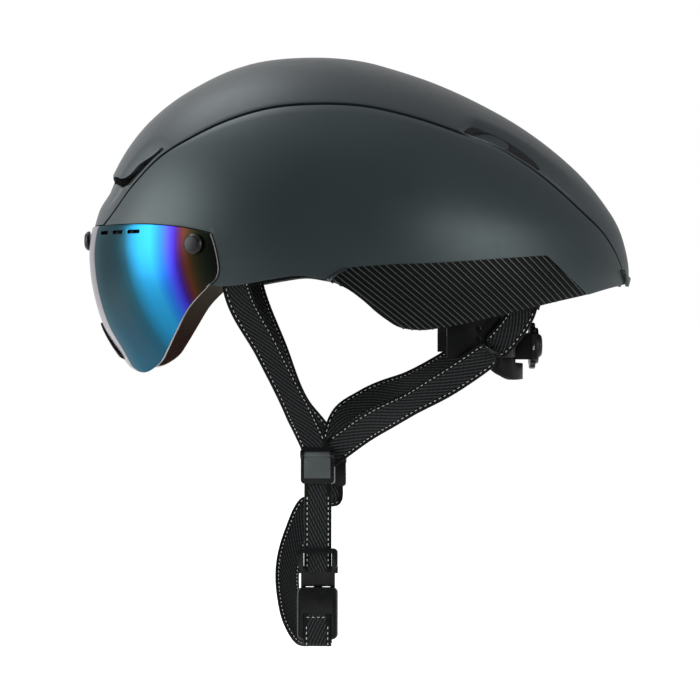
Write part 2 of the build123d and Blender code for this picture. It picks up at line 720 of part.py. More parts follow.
def on_dial_axis(radius, start, end, y=0):
    """A cylinder along the dial's axis, or beside it."""
    return Pos((start + end) / 2, y, dial_level) * Rotation(0, 90, 0) * Cylinder(radius, end - start)


shaft_start = housing_front_x + housing_wall / 2
knob_x = housing_rear_x + knob_gap
bearing = on_dial_axis(shaft_radius + press_gap, shaft_start - press_gap, behind)
dial_housing = dial_housing - bearing
housing_cover = housing_cover - bearing
pinion_shaft = pinion() + on_dial_axis(shaft_radius, shaft_start, knob_x + knob_wall)
knob = on_dial_axis(knob_radius, knob_x, knob_x + knob_wall)
for count in range(knob_notches):
    angle = 2 * math.pi * count / knob_notches
    notch = Pos(0, knob_radius * math.cos(angle), knob_radius * math.sin(angle))
    knob = knob - notch * on_dial_axis(knob_notch_radius, knob_x - fit_gap, knob_x + knob_wall + fit_gap)
knob = knob + on_dial_axis(knob_step_radius, knob_x + knob_wall, knob_x + knob_wall + knob_step_wall)
cap_x = knob_x + knob_wall + knob_step_wall
knob = knob - on_dial_axis(shaft_radius, knob_x - fit_gap, knob_x + knob_wall)
dial_cap = on_dial_axis(knob_cap_radius, cap_x, cap_x + knob_cap_wall)
dial_cap = chamfer(dial_cap.edges().group_by(Axis.X)[-1], knob_cap_wall / 2)
housing_screws = []
for side in (-1, 1):
    y = side * screw_y
    stem = on_dial_axis(screw_radius, shaft_start, split_x, y)
    head = on_dial_axis(screw_head_radius, housing_rear_x, housing_rear_x + screw_head_wall, y)
    stem_hole = on_dial_axis(screw_radius + press_gap, shaft_start, behind, y)
    dial_housing = dial_housing - stem_hole
    housing_cover = housing_cover - stem_hole
    housing_screws.append(stem + on_dial_axis(screw_radius, split_x, housing_rear_x, y) + head)


def plate(frame, low_corner, high_corner):
    """A box given in a local frame: across, up and outwards."""
    return frame.location * block(low_corner, high_corner)


def rounded_plate(frame, low_corner, high_corner, corner):
    """A plate whose four corners are rounded as seen from outside."""
    flat = block(low_corner, high_corner)
    return frame.location * fillet(flat.edges().filter_by(Axis.Z), corner)


def rod(frame, radius, up, out, start, end):
    """A rod across a local frame."""
    place = Pos((start + end) / 2, up, out) * Rotation(0, 90, 0)
    return frame.location * (place * Cylinder(radius, end - start))


def divider(frame, sunk):
    """A cam-lock divider: slotted block, two ears for the lever and an open mouth below."""
    wide, deep = divider_half_width, divider_half_wall
    body = rounded_plate(frame, (-wide, divider_foot, -deep), (wide, divider_head, deep), divider_corner)
    ear_wall = wide - lever_half_width - fit_gap
    for side in (-1, 1):
        inner, outer = side * (wide - ear_wall), side * wide
        low_u, high_u = min(inner, outer), max(inner, outer)
        ear = rod(frame, ear_radius, lever_hinge_v, lever_hinge_n, low_u, high_u)
        web = plate(frame, (low_u, lever_hinge_v - ear_radius, 0),
                    (high_u, lever_hinge_v + ear_radius, lever_hinge_n))
        body = body + ear + web
    body = body - rod(frame, lever_pin_radius + press_gap, lever_hinge_v, lever_hinge_n, -wide, wide)
    mouth = web_width / 2 + 2 * fit_gap
    body = body - plate(frame, (-wide, divider_foot, -mouth_half_wall), (wide, mouth, mouth_half_wall))
    for strap in sunk:
        body = body - strap
    return largest(body)[0]


def lever(frame):
    """The cam lever that clamps the webbing in a divider."""
    face = divider_half_wall + fit_gap
    arm = plate(frame, (-lever_half_width, lever_foot, face),
                (lever_half_width, lever_hinge_v, face + lever_wall))
    barrel = rod(frame, lever_barrel_radius, lever_hinge_v, lever_hinge_n,
                 -lever_half_width, lever_half_width)
    pin = rod(frame, lever_pin_radius, lever_hinge_v, lever_hinge_n, -divider_half_width, divider_half_width)
    return largest(arm + barrel + pin)[0]


left_divider = divider(near_frame, (left_front_strap, left_rear_strap))
right_divider = divider(far_frame, (right_front_strap, right_rear_strap))
left_lever = lever(near_frame)
right_lever = lever(far_frame)

# Chin loop
half_web = web_width / 2
half_wall = web_wall / 2


def strap_eye(frame):
    """The round end of a chin strap, which swings in a divider's mouth."""
    return frame.location * Cylinder(half_web + press_gap, web_wall + 2 * press_gap)


left_chin_strap = strap_eye(near_frame) + plate(
    near_frame, (-half_web, strap_end, -half_wall), (half_web, 0, half_wall))

# The buckle's plug: a ladder frame for the strap, a guide and two prongs behind the strap's plane
clear_n = half_wall + fit_gap
plug = rounded_plate(near_frame, (-plug_half_width, plug_neck, -plug_half_wall),
                     (plug_half_width, plug_head, plug_half_wall), plug_corner)
plug = plug - plate(near_frame, (-half_web - fit_gap, plug_neck - overrun, -clear_n),
                    (half_web + fit_gap, plug_head + overrun, clear_n))
plug = plug - plate(near_frame, (-half_web - fit_gap, plug_neck, -plug_half_wall),
                    (half_web + fit_gap, plug_head - plug_bar, plug_half_wall))
plug = plug - plate(near_frame, (-half_web - fit_gap, plug_neck, -plug_half_wall),
                    (half_web + fit_gap, plug_head, -clear_n))
cross_bar = plate(near_frame, (-plug_half_width, plug_neck - plug_bar, -plug_half_wall),
                  (plug_half_width, plug_neck + plug_bar / 2, -clear_n))
plug = plug + cross_bar
for side in (-1, 1):
    outer, inner = side * prong_half_span, side * (prong_half_span - prong_width)
    plug = plug + plate(near_frame, (min(outer, inner), prong_foot, -plug_half_wall),
                        (max(outer, inner), plug_neck, -clear_n))
plug = plug + plate(near_frame, (-guide_half_width, prong_foot, -plug_half_wall),
                    (guide_half_width, plug_neck, -clear_n))
plug = plug + plate(near_frame, (-prong_half_span, socket_head + fit_gap, -plug_half_wall),
                    (prong_half_span, plug_neck, -clear_n))
buckle_plug = largest(plug)[0]

# The buckle's socket, with room for the prongs and a bar for the sewn loop
room_half = prong_half_span + fit_gap
socket = block((-socket_half_width, socket_foot, -socket_half_wall),
               (socket_half_width, socket_head, socket_half_wall))
socket = fillet(socket.edges().filter_by(Axis.Z), socket_corner)
faces_by_height = socket.faces().sort_by(Axis.Z)
socket = fillet(faces_by_height[0].edges() + faces_by_height[-1].edges(), bar_radius / 2)
socket = near_frame.location * socket
socket = socket - plate(near_frame, (-room_half, prong_foot - fit_gap, -plug_half_wall - fit_gap),
                        (room_half, socket_head + overrun, -clear_n + fit_gap))
recess_face = bar_radius + bar_gap
socket = socket - plate(near_frame, (-socket_recess_half, socket_foot - overrun, recess_face),
                        (socket_recess_half, patch_head + fit_gap, socket_half_wall + overrun))
socket = socket - plate(near_frame, (-socket_recess_half, socket_foot - overrun, -socket_half_wall - overrun),
                        (socket_recess_half, slot_head, -recess_face))
socket = socket + rod(near_frame, bar_radius, socket_foot, 0, -socket_recess_half, socket_recess_half)
buckle_socket = largest(socket)[0]

# The long chin strap: sewn patch, turn under the bar, then round to the far divider
patch_in = recess_face + bar_gap
far_end = far_frame.from_local_coords(Vector(0, -half_web / 2, 0))
far_low = far_frame.from_local_coords(Vector(0, -half_web, 0))
far_wide = tuple(far_frame.x_dir * -1)
near_wide = tuple(near_frame.x_dir)
bend_radius = patch_in + half_wall
wrap = [Vector(*p) for p in chin_start_route]
for step in range(wrap_steps + 1):
    angle = math.pi / 2 * (step / wrap_steps - 1)
    wrap.append(Vector(0, socket_foot + bend_radius * math.sin(angle), bend_radius * math.cos(angle)))
wrap.append(Vector(0, patch_head, bend_radius))
wrap = [near_frame.from_local_coords(point) for point in wrap]
loop_route = [far_end, far_low] + [Vector(*p) for p in chin_route] + wrap
loop_turn = [far_wide, far_wide] + chin_turn_route + [near_wide] * (wrap_steps + 3)
loop = ribbon(loop_route, loop_turn, web_width, web_wall)
right_chin_strap = strap_eye(far_frame) + loop


# Visor: lens, nose trim, cap over each magnet
lens = (dome(-lens_step) - dome(lens_wall - lens_step)) & lens_region


def nose_cut(grow):
    """The nose notch seen from the front, grown outwards."""
    half, top = nose_half_width + grow, nose_top + grow
    arch = Spline((ahead, -half, nose_foot), (ahead, -half / 2, (top + nose_foot) / 2 + half / 4),
                  (ahead, 0, top), (ahead, half / 2, (top + nose_foot) / 2 + half / 4),
                  (ahead, half, nose_foot),
                  tangents=[(0, nose_lean_share, 1), (0, nose_lean_share, -1)])
    base = Polyline((ahead, half, nose_foot), (ahead, half, nose_foot - overrun),
                    (ahead, -half, nose_foot - overrun), (ahead, -half, nose_foot))
    return extrude(make_face([arch, base]), amount=front_reach, dir=(1, 0, 0))


lens = lens - nose_cut(0)
for side in (-1, 1):
    for share in lens_slot_angle_shares:
        angle = share * math.pi / 2
        x = apex_x - front_reach * math.cos(angle)
        y = side * half_width * math.sin(angle)
        heading = side * math.degrees(angle)
        slot = Pos(x, y, lens_slot_level) * Rotation(0, 0, -heading) * Box(
            overrun, lens_slot_length, lens_slot_height)
        lens = lens - slot
for hole in discs(lens_wall, magnet_radius + press_gap, overrun):
    lens = lens - hole
visor_lens = largest(lens)[0]
trim_form = dome(-nose_trim_wall - lens_step) - dome(nose_trim_wall + lens_wall - lens_step)
trim_band = (nose_cut(nose_trim_depth) - nose_cut(-nose_trim_wall)) & trim_form & lens_region
trim_slot = (dome(-lens_step - press_gap) - dome(lens_wall - lens_step + press_gap)) - nose_cut(-press_gap)
nose_trim = largest(trim_band - trim_slot)[0]
visor_magnets = discs(lens_wall - lens_step + fit_gap, magnet_radius, lens_wall)
magnet_caps = []
for base in magnet_planes(-lens_step - fit_gap):
    lower = base * extrude(Circle(cap_radius), amount=cap_height - fit_gap)
    magnet_caps.append(chamfer(lower.edges().filter_by(GeomType.CIRCLE).sort_by(
        lambda edge: -(edge.center() - base.origin).length)[0], cap_radius - cap_crown_radius))

nodes = {
    "crown_shell": crown_shell, "left_side_shell": left_side_shell, "right_side_shell": right_side_shell,
    "left_rib_panel": left_rib_panel, "right_rib_panel": right_rib_panel, "foam_liner": foam,
    "visor_bezel": bezel, "seat_magnets": group(seat_magnets), "brow_pad": brow_pad,
    "crown_pads": group(crown_pads), "side_pads": group(side_pads),
    "strap_anchors": group(strap_anchors), "left_front_strap": left_front_strap,
    "left_rear_strap": left_rear_strap, "right_front_strap": right_front_strap,
    "right_rear_strap": right_rear_strap, "left_divider": left_divider, "right_divider": right_divider,
    "temple_pins": group([temple_pin, mirrored(temple_pin)]), "visor_lens": visor_lens,
    "nose_trim": nose_trim, "visor_magnets": group(visor_magnets), "magnet_caps": group(magnet_caps),
    "left_arm": left_arm, "right_arm": right_arm, "cradle_frame": cradle_frame, "nape_pad": nape_pad,
    "dial_housing": dial_housing, "housing_cover": housing_cover, "housing_screws": group(housing_screws),
    "dial_pinion": pinion_shaft, "dial_knob": knob, "dial_cap": dial_cap, "left_rack": left_rack,
    "right_rack": right_rack, "left_lever": left_lever, "right_lever": right_lever,
    "left_chin_strap": left_chin_strap, "right_chin_strap": right_chin_strap,
    "buckle_socket": buckle_socket, "buckle_plug": buckle_plug,
}
os.makedirs("parts", exist_ok=True)
for name, shape in nodes.items():
    export_step(shape, f"parts/{name}.step")
    print(name, round(shape.volume), len(shape.solids()))
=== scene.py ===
# %% [markdown]
# # An aero time trial helmet
# The CAD model gives every piece its place. This script dresses it: smooth painted skins, a mirror
# visor, ribbed panels, webbing with stitches, moulded plastic with soft edges, and light to see it by.
# Everything is in metres in the CAD's own frame: the face looks along -X and the top is +Z.

# %% Load the frame
import json
import math

import bpy
import numpy as np
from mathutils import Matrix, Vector


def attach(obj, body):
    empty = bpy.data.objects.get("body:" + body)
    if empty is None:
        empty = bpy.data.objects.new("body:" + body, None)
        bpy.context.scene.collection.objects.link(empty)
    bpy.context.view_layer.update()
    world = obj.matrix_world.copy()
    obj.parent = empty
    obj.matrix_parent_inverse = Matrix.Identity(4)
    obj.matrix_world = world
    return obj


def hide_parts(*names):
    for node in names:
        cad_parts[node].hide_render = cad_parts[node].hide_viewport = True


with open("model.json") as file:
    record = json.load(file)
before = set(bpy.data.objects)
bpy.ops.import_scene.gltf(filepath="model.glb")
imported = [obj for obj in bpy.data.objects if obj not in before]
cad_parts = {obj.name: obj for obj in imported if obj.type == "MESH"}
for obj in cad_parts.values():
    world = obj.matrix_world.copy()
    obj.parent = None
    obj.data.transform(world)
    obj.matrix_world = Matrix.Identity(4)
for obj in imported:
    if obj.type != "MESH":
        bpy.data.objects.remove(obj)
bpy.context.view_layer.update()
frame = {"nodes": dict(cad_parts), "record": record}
MM = 0.001
BODY_OF = {n: body for body, names in frame["record"]["behaviour"]["bodies"].items() for n in names}


# %% [markdown]
# ## Small helpers
# Operators act on all that is selected, so every step starts by deselecting. A piece is finished by
# saying which body it rides on and which CAD node it stands for.

# %% Helpers for selecting and finishing a piece
def deselect():
    if bpy.context.object and bpy.context.object.mode != "OBJECT":
        bpy.ops.object.mode_set(mode="OBJECT")
    bpy.ops.object.select_all(action="DESELECT")


def choose(piece):
    deselect()
    piece.select_set(True)
    bpy.context.view_layer.objects.active = piece


def put_in(name, mesh):
    """Puts a mesh into the scene as a piece and chooses it."""
    piece = bpy.data.objects.new(name, mesh)
    bpy.context.scene.collection.objects.link(piece)
    choose(piece)
    return piece


def face_outwards(piece, merge_mm=0.0):
    """Merges doubled points where asked, and turns all faces of a closed mesh outwards."""
    choose(piece)
    bpy.ops.object.mode_set(mode="EDIT")
    bpy.ops.mesh.select_all(action="SELECT")
    if merge_mm:
        bpy.ops.mesh.remove_doubles(threshold=merge_mm * MM)
    bpy.ops.mesh.normals_make_consistent(inside=False)
    bpy.ops.object.mode_set(mode="OBJECT")


def apply_modifier(piece, kind, **settings):
    """Adds one modifier, sets it and applies it."""
    choose(piece)
    modifier = piece.modifiers.new(kind.title(), kind)
    for name, value in settings.items():
        setattr(modifier, name, value)
    bpy.ops.object.modifier_apply(modifier=modifier.name)


def finish_piece(piece, body, slot, *finishes, replaced=(), smooth=40):
    """Gives a piece its materials, its smooth shading and its body. The slot is not used."""
    choose(piece)
    marks = [face.material_index for face in piece.data.polygons]
    piece.data.materials.clear()
    for finish in finishes:
        piece.data.materials.append(finish)
    piece.data.polygons.foreach_set("material_index", [min(mark, len(finishes) - 1) for mark in marks])
    bpy.ops.object.shade_smooth_by_angle(angle=math.radians(smooth))
    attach(piece, body)
    if replaced:
        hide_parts(*replaced)
    return piece


# %% [markdown]
# ## Helpers for materials
# A finish is a small node tree. One function adds any node with its settings and links, and one turns
# hex colours, which are sRGB, into the linear numbers that Blender works with. A noise or cell texture
# counts its grains by the metre, so its scale is one over the size of a grain.

# %% Helpers for materials
def colour(text):
    """A hex sRGB colour as linear RGBA."""
    parts = [int(text[i:i + 2], 16) / 255 for i in (0, 2, 4)]
    return tuple(c / 12.92 if c <= 0.04045 else ((c + 0.055) / 1.055) ** 2.4 for c in parts) + (1.0,)


def add(tree, kind, sockets=None, stops=(), **settings):
    """Adds one node and gives its outputs. A socket takes a number, a hex colour or another node's
    output. The stops are the places and hex colours of a colour ramp."""
    made = tree.nodes.new("ShaderNode" + kind)
    for name, value in settings.items():
        setattr(made, name, value)
    for name, value in (sockets or {}).items():
        if isinstance(value, bpy.types.NodeSocket):
            tree.links.new(value, made.inputs[name])
        else:
            made.inputs[name].default_value = colour(value) if isinstance(value, str) else value
    for count, (position, text) in enumerate(stops):
        keys = made.color_ramp.elements
        key = keys[count] if count < 2 else keys.new(position)
        key.position, key.color = position, colour(text)
    return made.outputs


def new_finish(name):
    """An empty material, its node tree and its object coordinates in metres."""
    made = bpy.data.materials.new(name)
    made.use_nodes = True
    made.node_tree.nodes.clear()
    return made, made.node_tree, add(made.node_tree, "TexCoord")["Object"]


def close_finish(tree, sockets):
    """Ends a material with its shader."""
    shader = add(tree, "BsdfPrincipled", sockets)
    add(tree, "OutputMaterial", {"Surface": shader["BSDF"]})


# %% [markdown]
# ## Finishes of the shell
# The skins are polycarbonate with a matt automotive paint. A matt clear coat scatters light, so the
# highlights are wide and soft, and a fine orange peel breaks them up. One even colour and roughness
# would look like bare plastic, so both drift a little over the skin. The crown is bluer than the sides.

# %% Matt paint
def matt_paint(name, dark, light, roughness):
    made, tree, place = new_finish(name)
    clouds = add(tree, "TexNoise", {"Vector": place, "Scale": 1 / (60 * MM), "Detail": 1.0})["Fac"]
    peel = add(tree, "TexNoise", {"Vector": place, "Scale": 1 / (0.9 * MM), "Detail": 3.0})["Fac"]
    dust = add(tree, "TexNoise", {"Vector": place, "Scale": 1 / (5.0 * MM), "Detail": 4.0})["Fac"]
    close_finish(tree, {
        "Base Color": add(tree, "ValToRGB", {"Fac": clouds}, [(0.3, dark), (0.7, light)])["Color"],
        "Roughness": add(tree, "MapRange", {
            "Value": dust, "To Min": roughness - 0.03, "To Max": roughness + 0.05})["Result"],
        "Specular IOR Level": 0.42, "Specular Tint": "E4F6F8",
        "Normal": add(tree, "Bump", {"Height": peel, "Distance": 0.03 * MM, "Strength": 0.35})["Normal"]})
    return made


crown_paint = matt_paint("matt_paint_crown", "1D2226", "23282C", 0.42)
side_paint = matt_paint("matt_paint_side", "1A2123", "20282A", 0.40)
print("made", crown_paint.name, "and", side_paint.name)


# %% [markdown]
# The ribbed panels are bare moulded ABS, nearly black, with a fine spark-eroded mould texture. The foam
# is expanded polystyrene: beads about 3 mm across pressed together, with a thin groove between them.
# Moulded plastics differ only in colour, gloss and grain, so one function makes them all.

# %% Moulded ABS and foam
def moulded(name, dark, light, roughness, texture_mm=0.35, depth_mm=0.02, shine=0.16):
    """Moulded plastic: an even colour with the fine grain of the mould."""
    made, tree, place = new_finish(name)
    spots = add(tree, "TexNoise", {"Vector": place, "Scale": 1 / (texture_mm * MM), "Detail": 2.0})["Fac"]
    wear = add(tree, "TexNoise", {
        "Vector": place, "Scale": 1 / (9.0 * MM), "Detail": 5.0, "Roughness": 0.6})["Fac"]
    close_finish(tree, {
        "Base Color": add(tree, "ValToRGB", {"Fac": wear}, [(0.35, dark), (0.7, light)])["Color"],
        "Roughness": add(tree, "MapRange", {
            "Value": wear, "To Min": roughness - 0.06, "To Max": roughness + 0.08})["Result"],
        "Specular IOR Level": shine,
        "Normal": add(tree, "Bump", {
            "Height": spots, "Distance": depth_mm * MM, "Strength": 0.5})["Normal"]})
    return made


def pressed_foam(name):
    made, tree, place = new_finish(name)
    beads = add(tree, "TexVoronoi", {"Vector": place, "Scale": 1 / (3.2 * MM)},
                feature="DISTANCE_TO_EDGE")["Distance"]
    rim = add(tree, "MapRange", {"Value": beads, "From Max": 0.12})["Result"]
    close_finish(tree, {
        "Base Color": add(tree, "ValToRGB", {"Fac": rim}, [(0.0, "0A0A0B"), (1.0, "1A1B1D")])["Color"],
        "Roughness": 0.82, "Specular IOR Level": 0.2,
        "Normal": add(tree, "Bump", {"Height": rim, "Distance": 0.15 * MM, "Strength": 0.6})["Normal"]})
    return made


panel_plastic = moulded("moulded_abs_panel", "030404", "060707", 0.5, shine=0.08)
rib_plastic = moulded("moulded_abs_ribs", "060707", "0A0B0B", 0.4, shine=0.12)
# The crests' lighter colour is a painted highlight.
crest_painted_highlight = moulded("moulded_abs_rib_crests_painted_highlight", "323938", "3C4443", 0.36, shine=0.3)
bezel_plastic = moulded("moulded_abs_bezel", "08080A", "0D0D0F", 0.5)
liner_foam = pressed_foam("expanded_polystyrene")
print("made the plastics of the panels and the bezel, and", liner_foam.name)

# %% [markdown]
# ## The visor's finish
# The lens is polycarbonate with a vapour-deposited mirror. Its thin layers colour the reflection:
# grey-teal at the nose, then cyan and blue, a narrow violet and red-brown, and nearly black at the
# temple. These hues are the coating's own. How bright each band is, from the bright cyan down to the
# nearly black temple, is a painted reflection of the studio. The bands lie across the lens and lean
# forwards towards its tip, so the colour is read from the place along X less a share of the depth
# squared. Near its outline, where the lens is seen at a slant, a pale band with a thin dark line before
# it is blended in by the facing: a painted reflection of the white backdrop.
# The shader's own thin film would need the true layers, which a photograph doesn't give, so a colour
# ramp along the lens takes their place.

# %% Mirror coating
BAND_FRONT, BAND_REAR, BAND_LEAN = -0.1205, -0.0505, -6.2


def mirror_coat(name):
    made, tree, place = new_finish(name)
    axes = add(tree, "SeparateXYZ", {"Vector": place})
    slow = add(tree, "TexNoise", {"Vector": place, "Scale": 1 / (70 * MM), "Detail": 1.0})["Fac"]
    depth = add(tree, "Math", {0: axes["Z"], 1: 0.0}, operation="MINIMUM")[0]
    squared = add(tree, "Math", {0: depth, 1: depth}, operation="MULTIPLY")[0]
    lean = add(tree, "Math", {0: squared, 1: BAND_LEAN, 2: axes["X"]}, operation="MULTIPLY_ADD")[0]
    bent = add(tree, "Math", {0: slow, 1: 0.003, 2: lean}, operation="MULTIPLY_ADD")[0]
    along = add(tree, "MapRange", {"Value": bent, "From Min": BAND_FRONT, "From Max": BAND_REAR})["Result"]
    # The ramp holds the coating's hues, and in how light or dark each band is, a painted reflection of the
    # studio.
    coat_colour_and_painted_reflection = add(tree, "ValToRGB", {"Fac": along}, [
        (0.08, "2C383E"), (0.18, "203840"), (0.24, "183E4C"), (0.29, "165470"), (0.37, "186890"),
        (0.46, "1A6E98"), (0.54, "18509A"), (0.59, "283AA0"), (0.63, "2C2290"), (0.665, "28145C"),
        (0.70, "38162A"), (0.735, "402012"), (0.79, "241F10"), (0.86, "141810"), (1.00, "0A0D0D")])["Color"]
    low = add(tree, "MapRange", {"Value": axes["Z"], "From Min": -0.034, "From Max": -0.070})["Result"]
    tip = add(tree, "Math", {0: low, 1: 0.5}, operation="MULTIPLY")[0]
    # A pale band near the outline with a thin dark line before it: a painted reflection of the white
    # backdrop, blended in by the facing.
    facing = add(tree, "LayerWeight", {"Blend": 0.5})["Facing"]
    painted_reflection_dark_line = add(tree, "MapRange", {"Value": facing, "From Min": 0.71, "From Max": 0.73})["Result"]
    painted_backdrop_reflection = add(tree, "MapRange", {"Value": facing, "From Min": 0.745, "From Max": 0.765})["Result"]
    for share, over in ((tip, "15506C"), (painted_reflection_dark_line, "1C2830"), (painted_backdrop_reflection, "77737C")):
        coat_colour_and_painted_reflection = add(tree, "Mix", {0: share, 6: coat_colour_and_painted_reflection, 7: over}, data_type="RGBA")[2]
    waves = add(tree, "TexNoise", {"Vector": place, "Scale": 1 / (25 * MM), "Detail": 1.0})["Fac"]
    close_finish(tree, {
        "Base Color": coat_colour_and_painted_reflection, "Metallic": 0.95, "Roughness": 0.28,
        "Specular Tint": add(tree, "Mix", {0: painted_backdrop_reflection, 6: "BED0D6", 7: "FFFFFF"}, data_type="RGBA")[2],
        "Normal": add(tree, "Bump", {"Height": waves, "Distance": 0.05 * MM, "Strength": 0.15})["Normal"]})
    return made


def lens_back(name):
    """The inside of the lens: the tinted plastic seen without its mirror, darker towards the tip."""
    made, tree, place = new_finish(name)
    height = add(tree, "SeparateXYZ", {"Vector": place})["Z"]
    clouds = add(tree, "TexNoise", {"Vector": place, "Scale": 1 / (40 * MM), "Detail": 1.0})["Fac"]
    mixed = add(tree, "Math", {0: clouds, 1: 0.012, 2: height}, operation="MULTIPLY_ADD")[0]
    above_tip = add(tree, "MapRange", {"Value": mixed, "From Min": -0.072, "From Max": -0.020})["Result"]
    close_finish(tree, {
        "Base Color": add(tree, "ValToRGB", {"Fac": above_tip}, [
            (0.0, "4A3430"), (0.35, "55403A"), (0.7, "6A5C52"), (1.0, "7A7268")])["Color"],
        "Roughness": 0.16, "Coat Weight": 0.3, "Coat Roughness": 0.05})
    return made


lens_mirror = mirror_coat("mirror_coated_polycarbonate")
lens_inside = lens_back("tinted_polycarbonate")
lens_rim = moulded("lens_cut_edge", "8E8A8C", "B4AEB2", 0.3)
print("made", lens_mirror.name, "for the front,", lens_inside.name, "for the back")


# %% [markdown]
# ## Finishes of the small parts
# Nylon and acetal parts are moulded and nearly black. The buckle is glossy acetal, the cradle is satin
# nylon. The nose edge is soft rubber, the magnets are nickel plated and the screws are steel. Their
# differences are small in the dark, so gloss tells them apart more than colour does.

# %% Small parts
buckle_acetal = moulded("acetal_buckle", "050607", "0A0B0D", 0.26, 0.8, 0.01, 0.24)
lever_acetal = moulded("acetal_levers", "3A4041", "454B4C", 0.40, 0.8, 0.01, 0.4)
cap_acetal = moulded("acetal_caps", "0A0B0D", "101114", 0.30, 0.8, 0.01, 0.24)
cradle_nylon = moulded("nylon_cradle", "050607", "0A0B0C", 0.5, shine=0.1)
dial_nylon = moulded("nylon_dial", "0A0B0C", "121315", 0.34, shine=0.22)
nose_rubber = moulded("soft_rubber", "040405", "080809", 0.6, 0.5)


def metal(name, dark, light, roughness, streak_mm):
    made, tree, place = new_finish(name)
    marks = add(tree, "TexNoise", {"Vector": place, "Scale": 1 / (streak_mm * MM), "Detail": 3.0})["Fac"]
    close_finish(tree, {
        "Base Color": add(tree, "ValToRGB", {"Fac": marks}, [(0.3, dark), (0.7, light)])["Color"],
        "Metallic": 1.0,
        "Roughness": add(tree, "MapRange", {
            "Value": marks, "To Min": roughness - 0.05, "To Max": roughness + 0.08})["Result"]})
    return made


nickel = metal("nickel_plate", "A9A7A0", "C9C7C0", 0.22, 1.5)
steel = metal("stainless_steel", "7C7D80", "A0A1A4", 0.30, 0.8)
print(len(bpy.data.materials), "materials so far")

# %% [markdown]
# ## Webbing, thread and pad fabric
# The straps are polyester webbing in a 2/2 twill: each warp thread passes over two and under two, one
# thread further on each pick, which shows as diagonal lines. The weave is drawn in the strap's own UV
# map, which is measured in metres along and across the strap. Real threads are 0.4 mm apart; they are
# drawn 1.3 mm apart so that they show. The two borders, outside the stitches, are plain black.

# %% Fabric
THREAD_PITCH, TWILL_PITCH, TWILL_SLANT = 1.3 * MM, 3.77 * MM, -2.0
BORDER_START, BORDER_END = 4.7 * MM, 5.3 * MM


def woven_twill(name):
    made, tree, _ = new_finish(name)
    surface = add(tree, "UVMap", uv_map="weave")["UV"]
    axes = add(tree, "SeparateXYZ", {"Vector": surface})
    slanted = add(tree, "Math", {0: axes["X"], 1: TWILL_SLANT, 2: axes["Y"]}, operation="MULTIPLY_ADD")[0]
    waves = []
    for run, pitch in ((slanted, TWILL_PITCH), (axes["X"], THREAD_PITCH)):
        turns = add(tree, "Math", {0: run, 1: 2 * math.pi / pitch}, operation="MULTIPLY")[0]
        waves.append(add(tree, "Math", {0: turns}, operation="SINE")[0])
    both = add(tree, "Math", {0: waves[1], 1: 0.35, 2: waves[0]}, operation="MULTIPLY_ADD")[0]
    height = add(tree, "MapRange", {"Value": both, "From Min": -1.35, "From Max": 1.35})["Result"]
    fuzz = add(tree, "TexNoise", {"Vector": surface, "Scale": 1 / (0.4 * MM)})["Fac"]
    fluff = add(tree, "Bump", {"Height": fuzz, "Distance": 0.03 * MM, "Strength": 0.4})["Normal"]
    shade = add(tree, "ValToRGB", {"Fac": height}, [
        (0.1, "040505"), (0.5, "121414"), (0.95, "34383A")])["Color"]
    from_middle = add(tree, "Math", {0: axes["X"]}, operation="ABSOLUTE")[0]
    border = add(tree, "MapRange", {
        "Value": from_middle, "From Min": BORDER_START, "From Max": BORDER_END})["Result"]
    close_finish(tree, {
        "Base Color": add(tree, "Mix", {0: border, 6: shade, 7: "030404"}, data_type="RGBA")[2],
        "Roughness": 0.72, "Specular IOR Level": 0.12, "Sheen Weight": 0.08, "Sheen Roughness": 0.4,
        "Normal": add(tree, "Bump", {
            "Height": height, "Distance": 0.22 * MM, "Strength": 0.8, "Normal": fluff})["Normal"]})
    return made


def knitted(name):
    """Pad fabric: a spacer knit with small hexagonal dents, 2.2 mm apart."""
    made, tree, place = new_finish(name)
    cells = add(tree, "TexVoronoi", {"Vector": place, "Scale": 1 / (2.2 * MM), "Randomness": 0.25},
                feature="F1")["Distance"]
    close_finish(tree, {
        "Base Color": add(tree, "ValToRGB", {"Fac": cells}, [(0.1, "070709"), (0.6, "17181B")])["Color"],
        "Roughness": 0.9, "Specular IOR Level": 0.15, "Sheen Weight": 0.15, "Sheen Roughness": 0.5,
        "Normal": add(tree, "Bump", {"Height": cells, "Distance": 0.3 * MM, "Strength": 0.7})["Normal"]})
    return made


def sewing_thread(name):
    made, tree, place = new_finish(name)
    fibres = add(tree, "TexNoise", {"Vector": place, "Scale": 1 / (0.4 * MM), "Detail": 2.0})["Fac"]
    close_finish(tree, {
        "Base Color": add(tree, "ValToRGB", {"Fac": fibres}, [(0.3, "9EA2A2"), (0.7, "C8CACA")])["Color"],
        "Roughness": 0.6, "Sheen Weight": 0.2})
    return made


webbing = woven_twill("polyester_webbing")
pad_knit = knitted("knitted_pad_fabric")
white_thread = sewing_thread("polyester_thread")
print("made", webbing.name, pad_knit.name, "and", white_thread.name)

# %% [markdown]
# ## The shell's form
# The shell is a stack of level rings. Each ring is an oval whose front, side and rear reach are shares
# of the helmet's own, the same table that drives the CAD model. Between the rings the shares are read
# from a smooth curve over the angle of rise, so the crown closes without a point. The form could be
# sculpted instead, but a formula lets every later outline be laid on exactly the same surface.

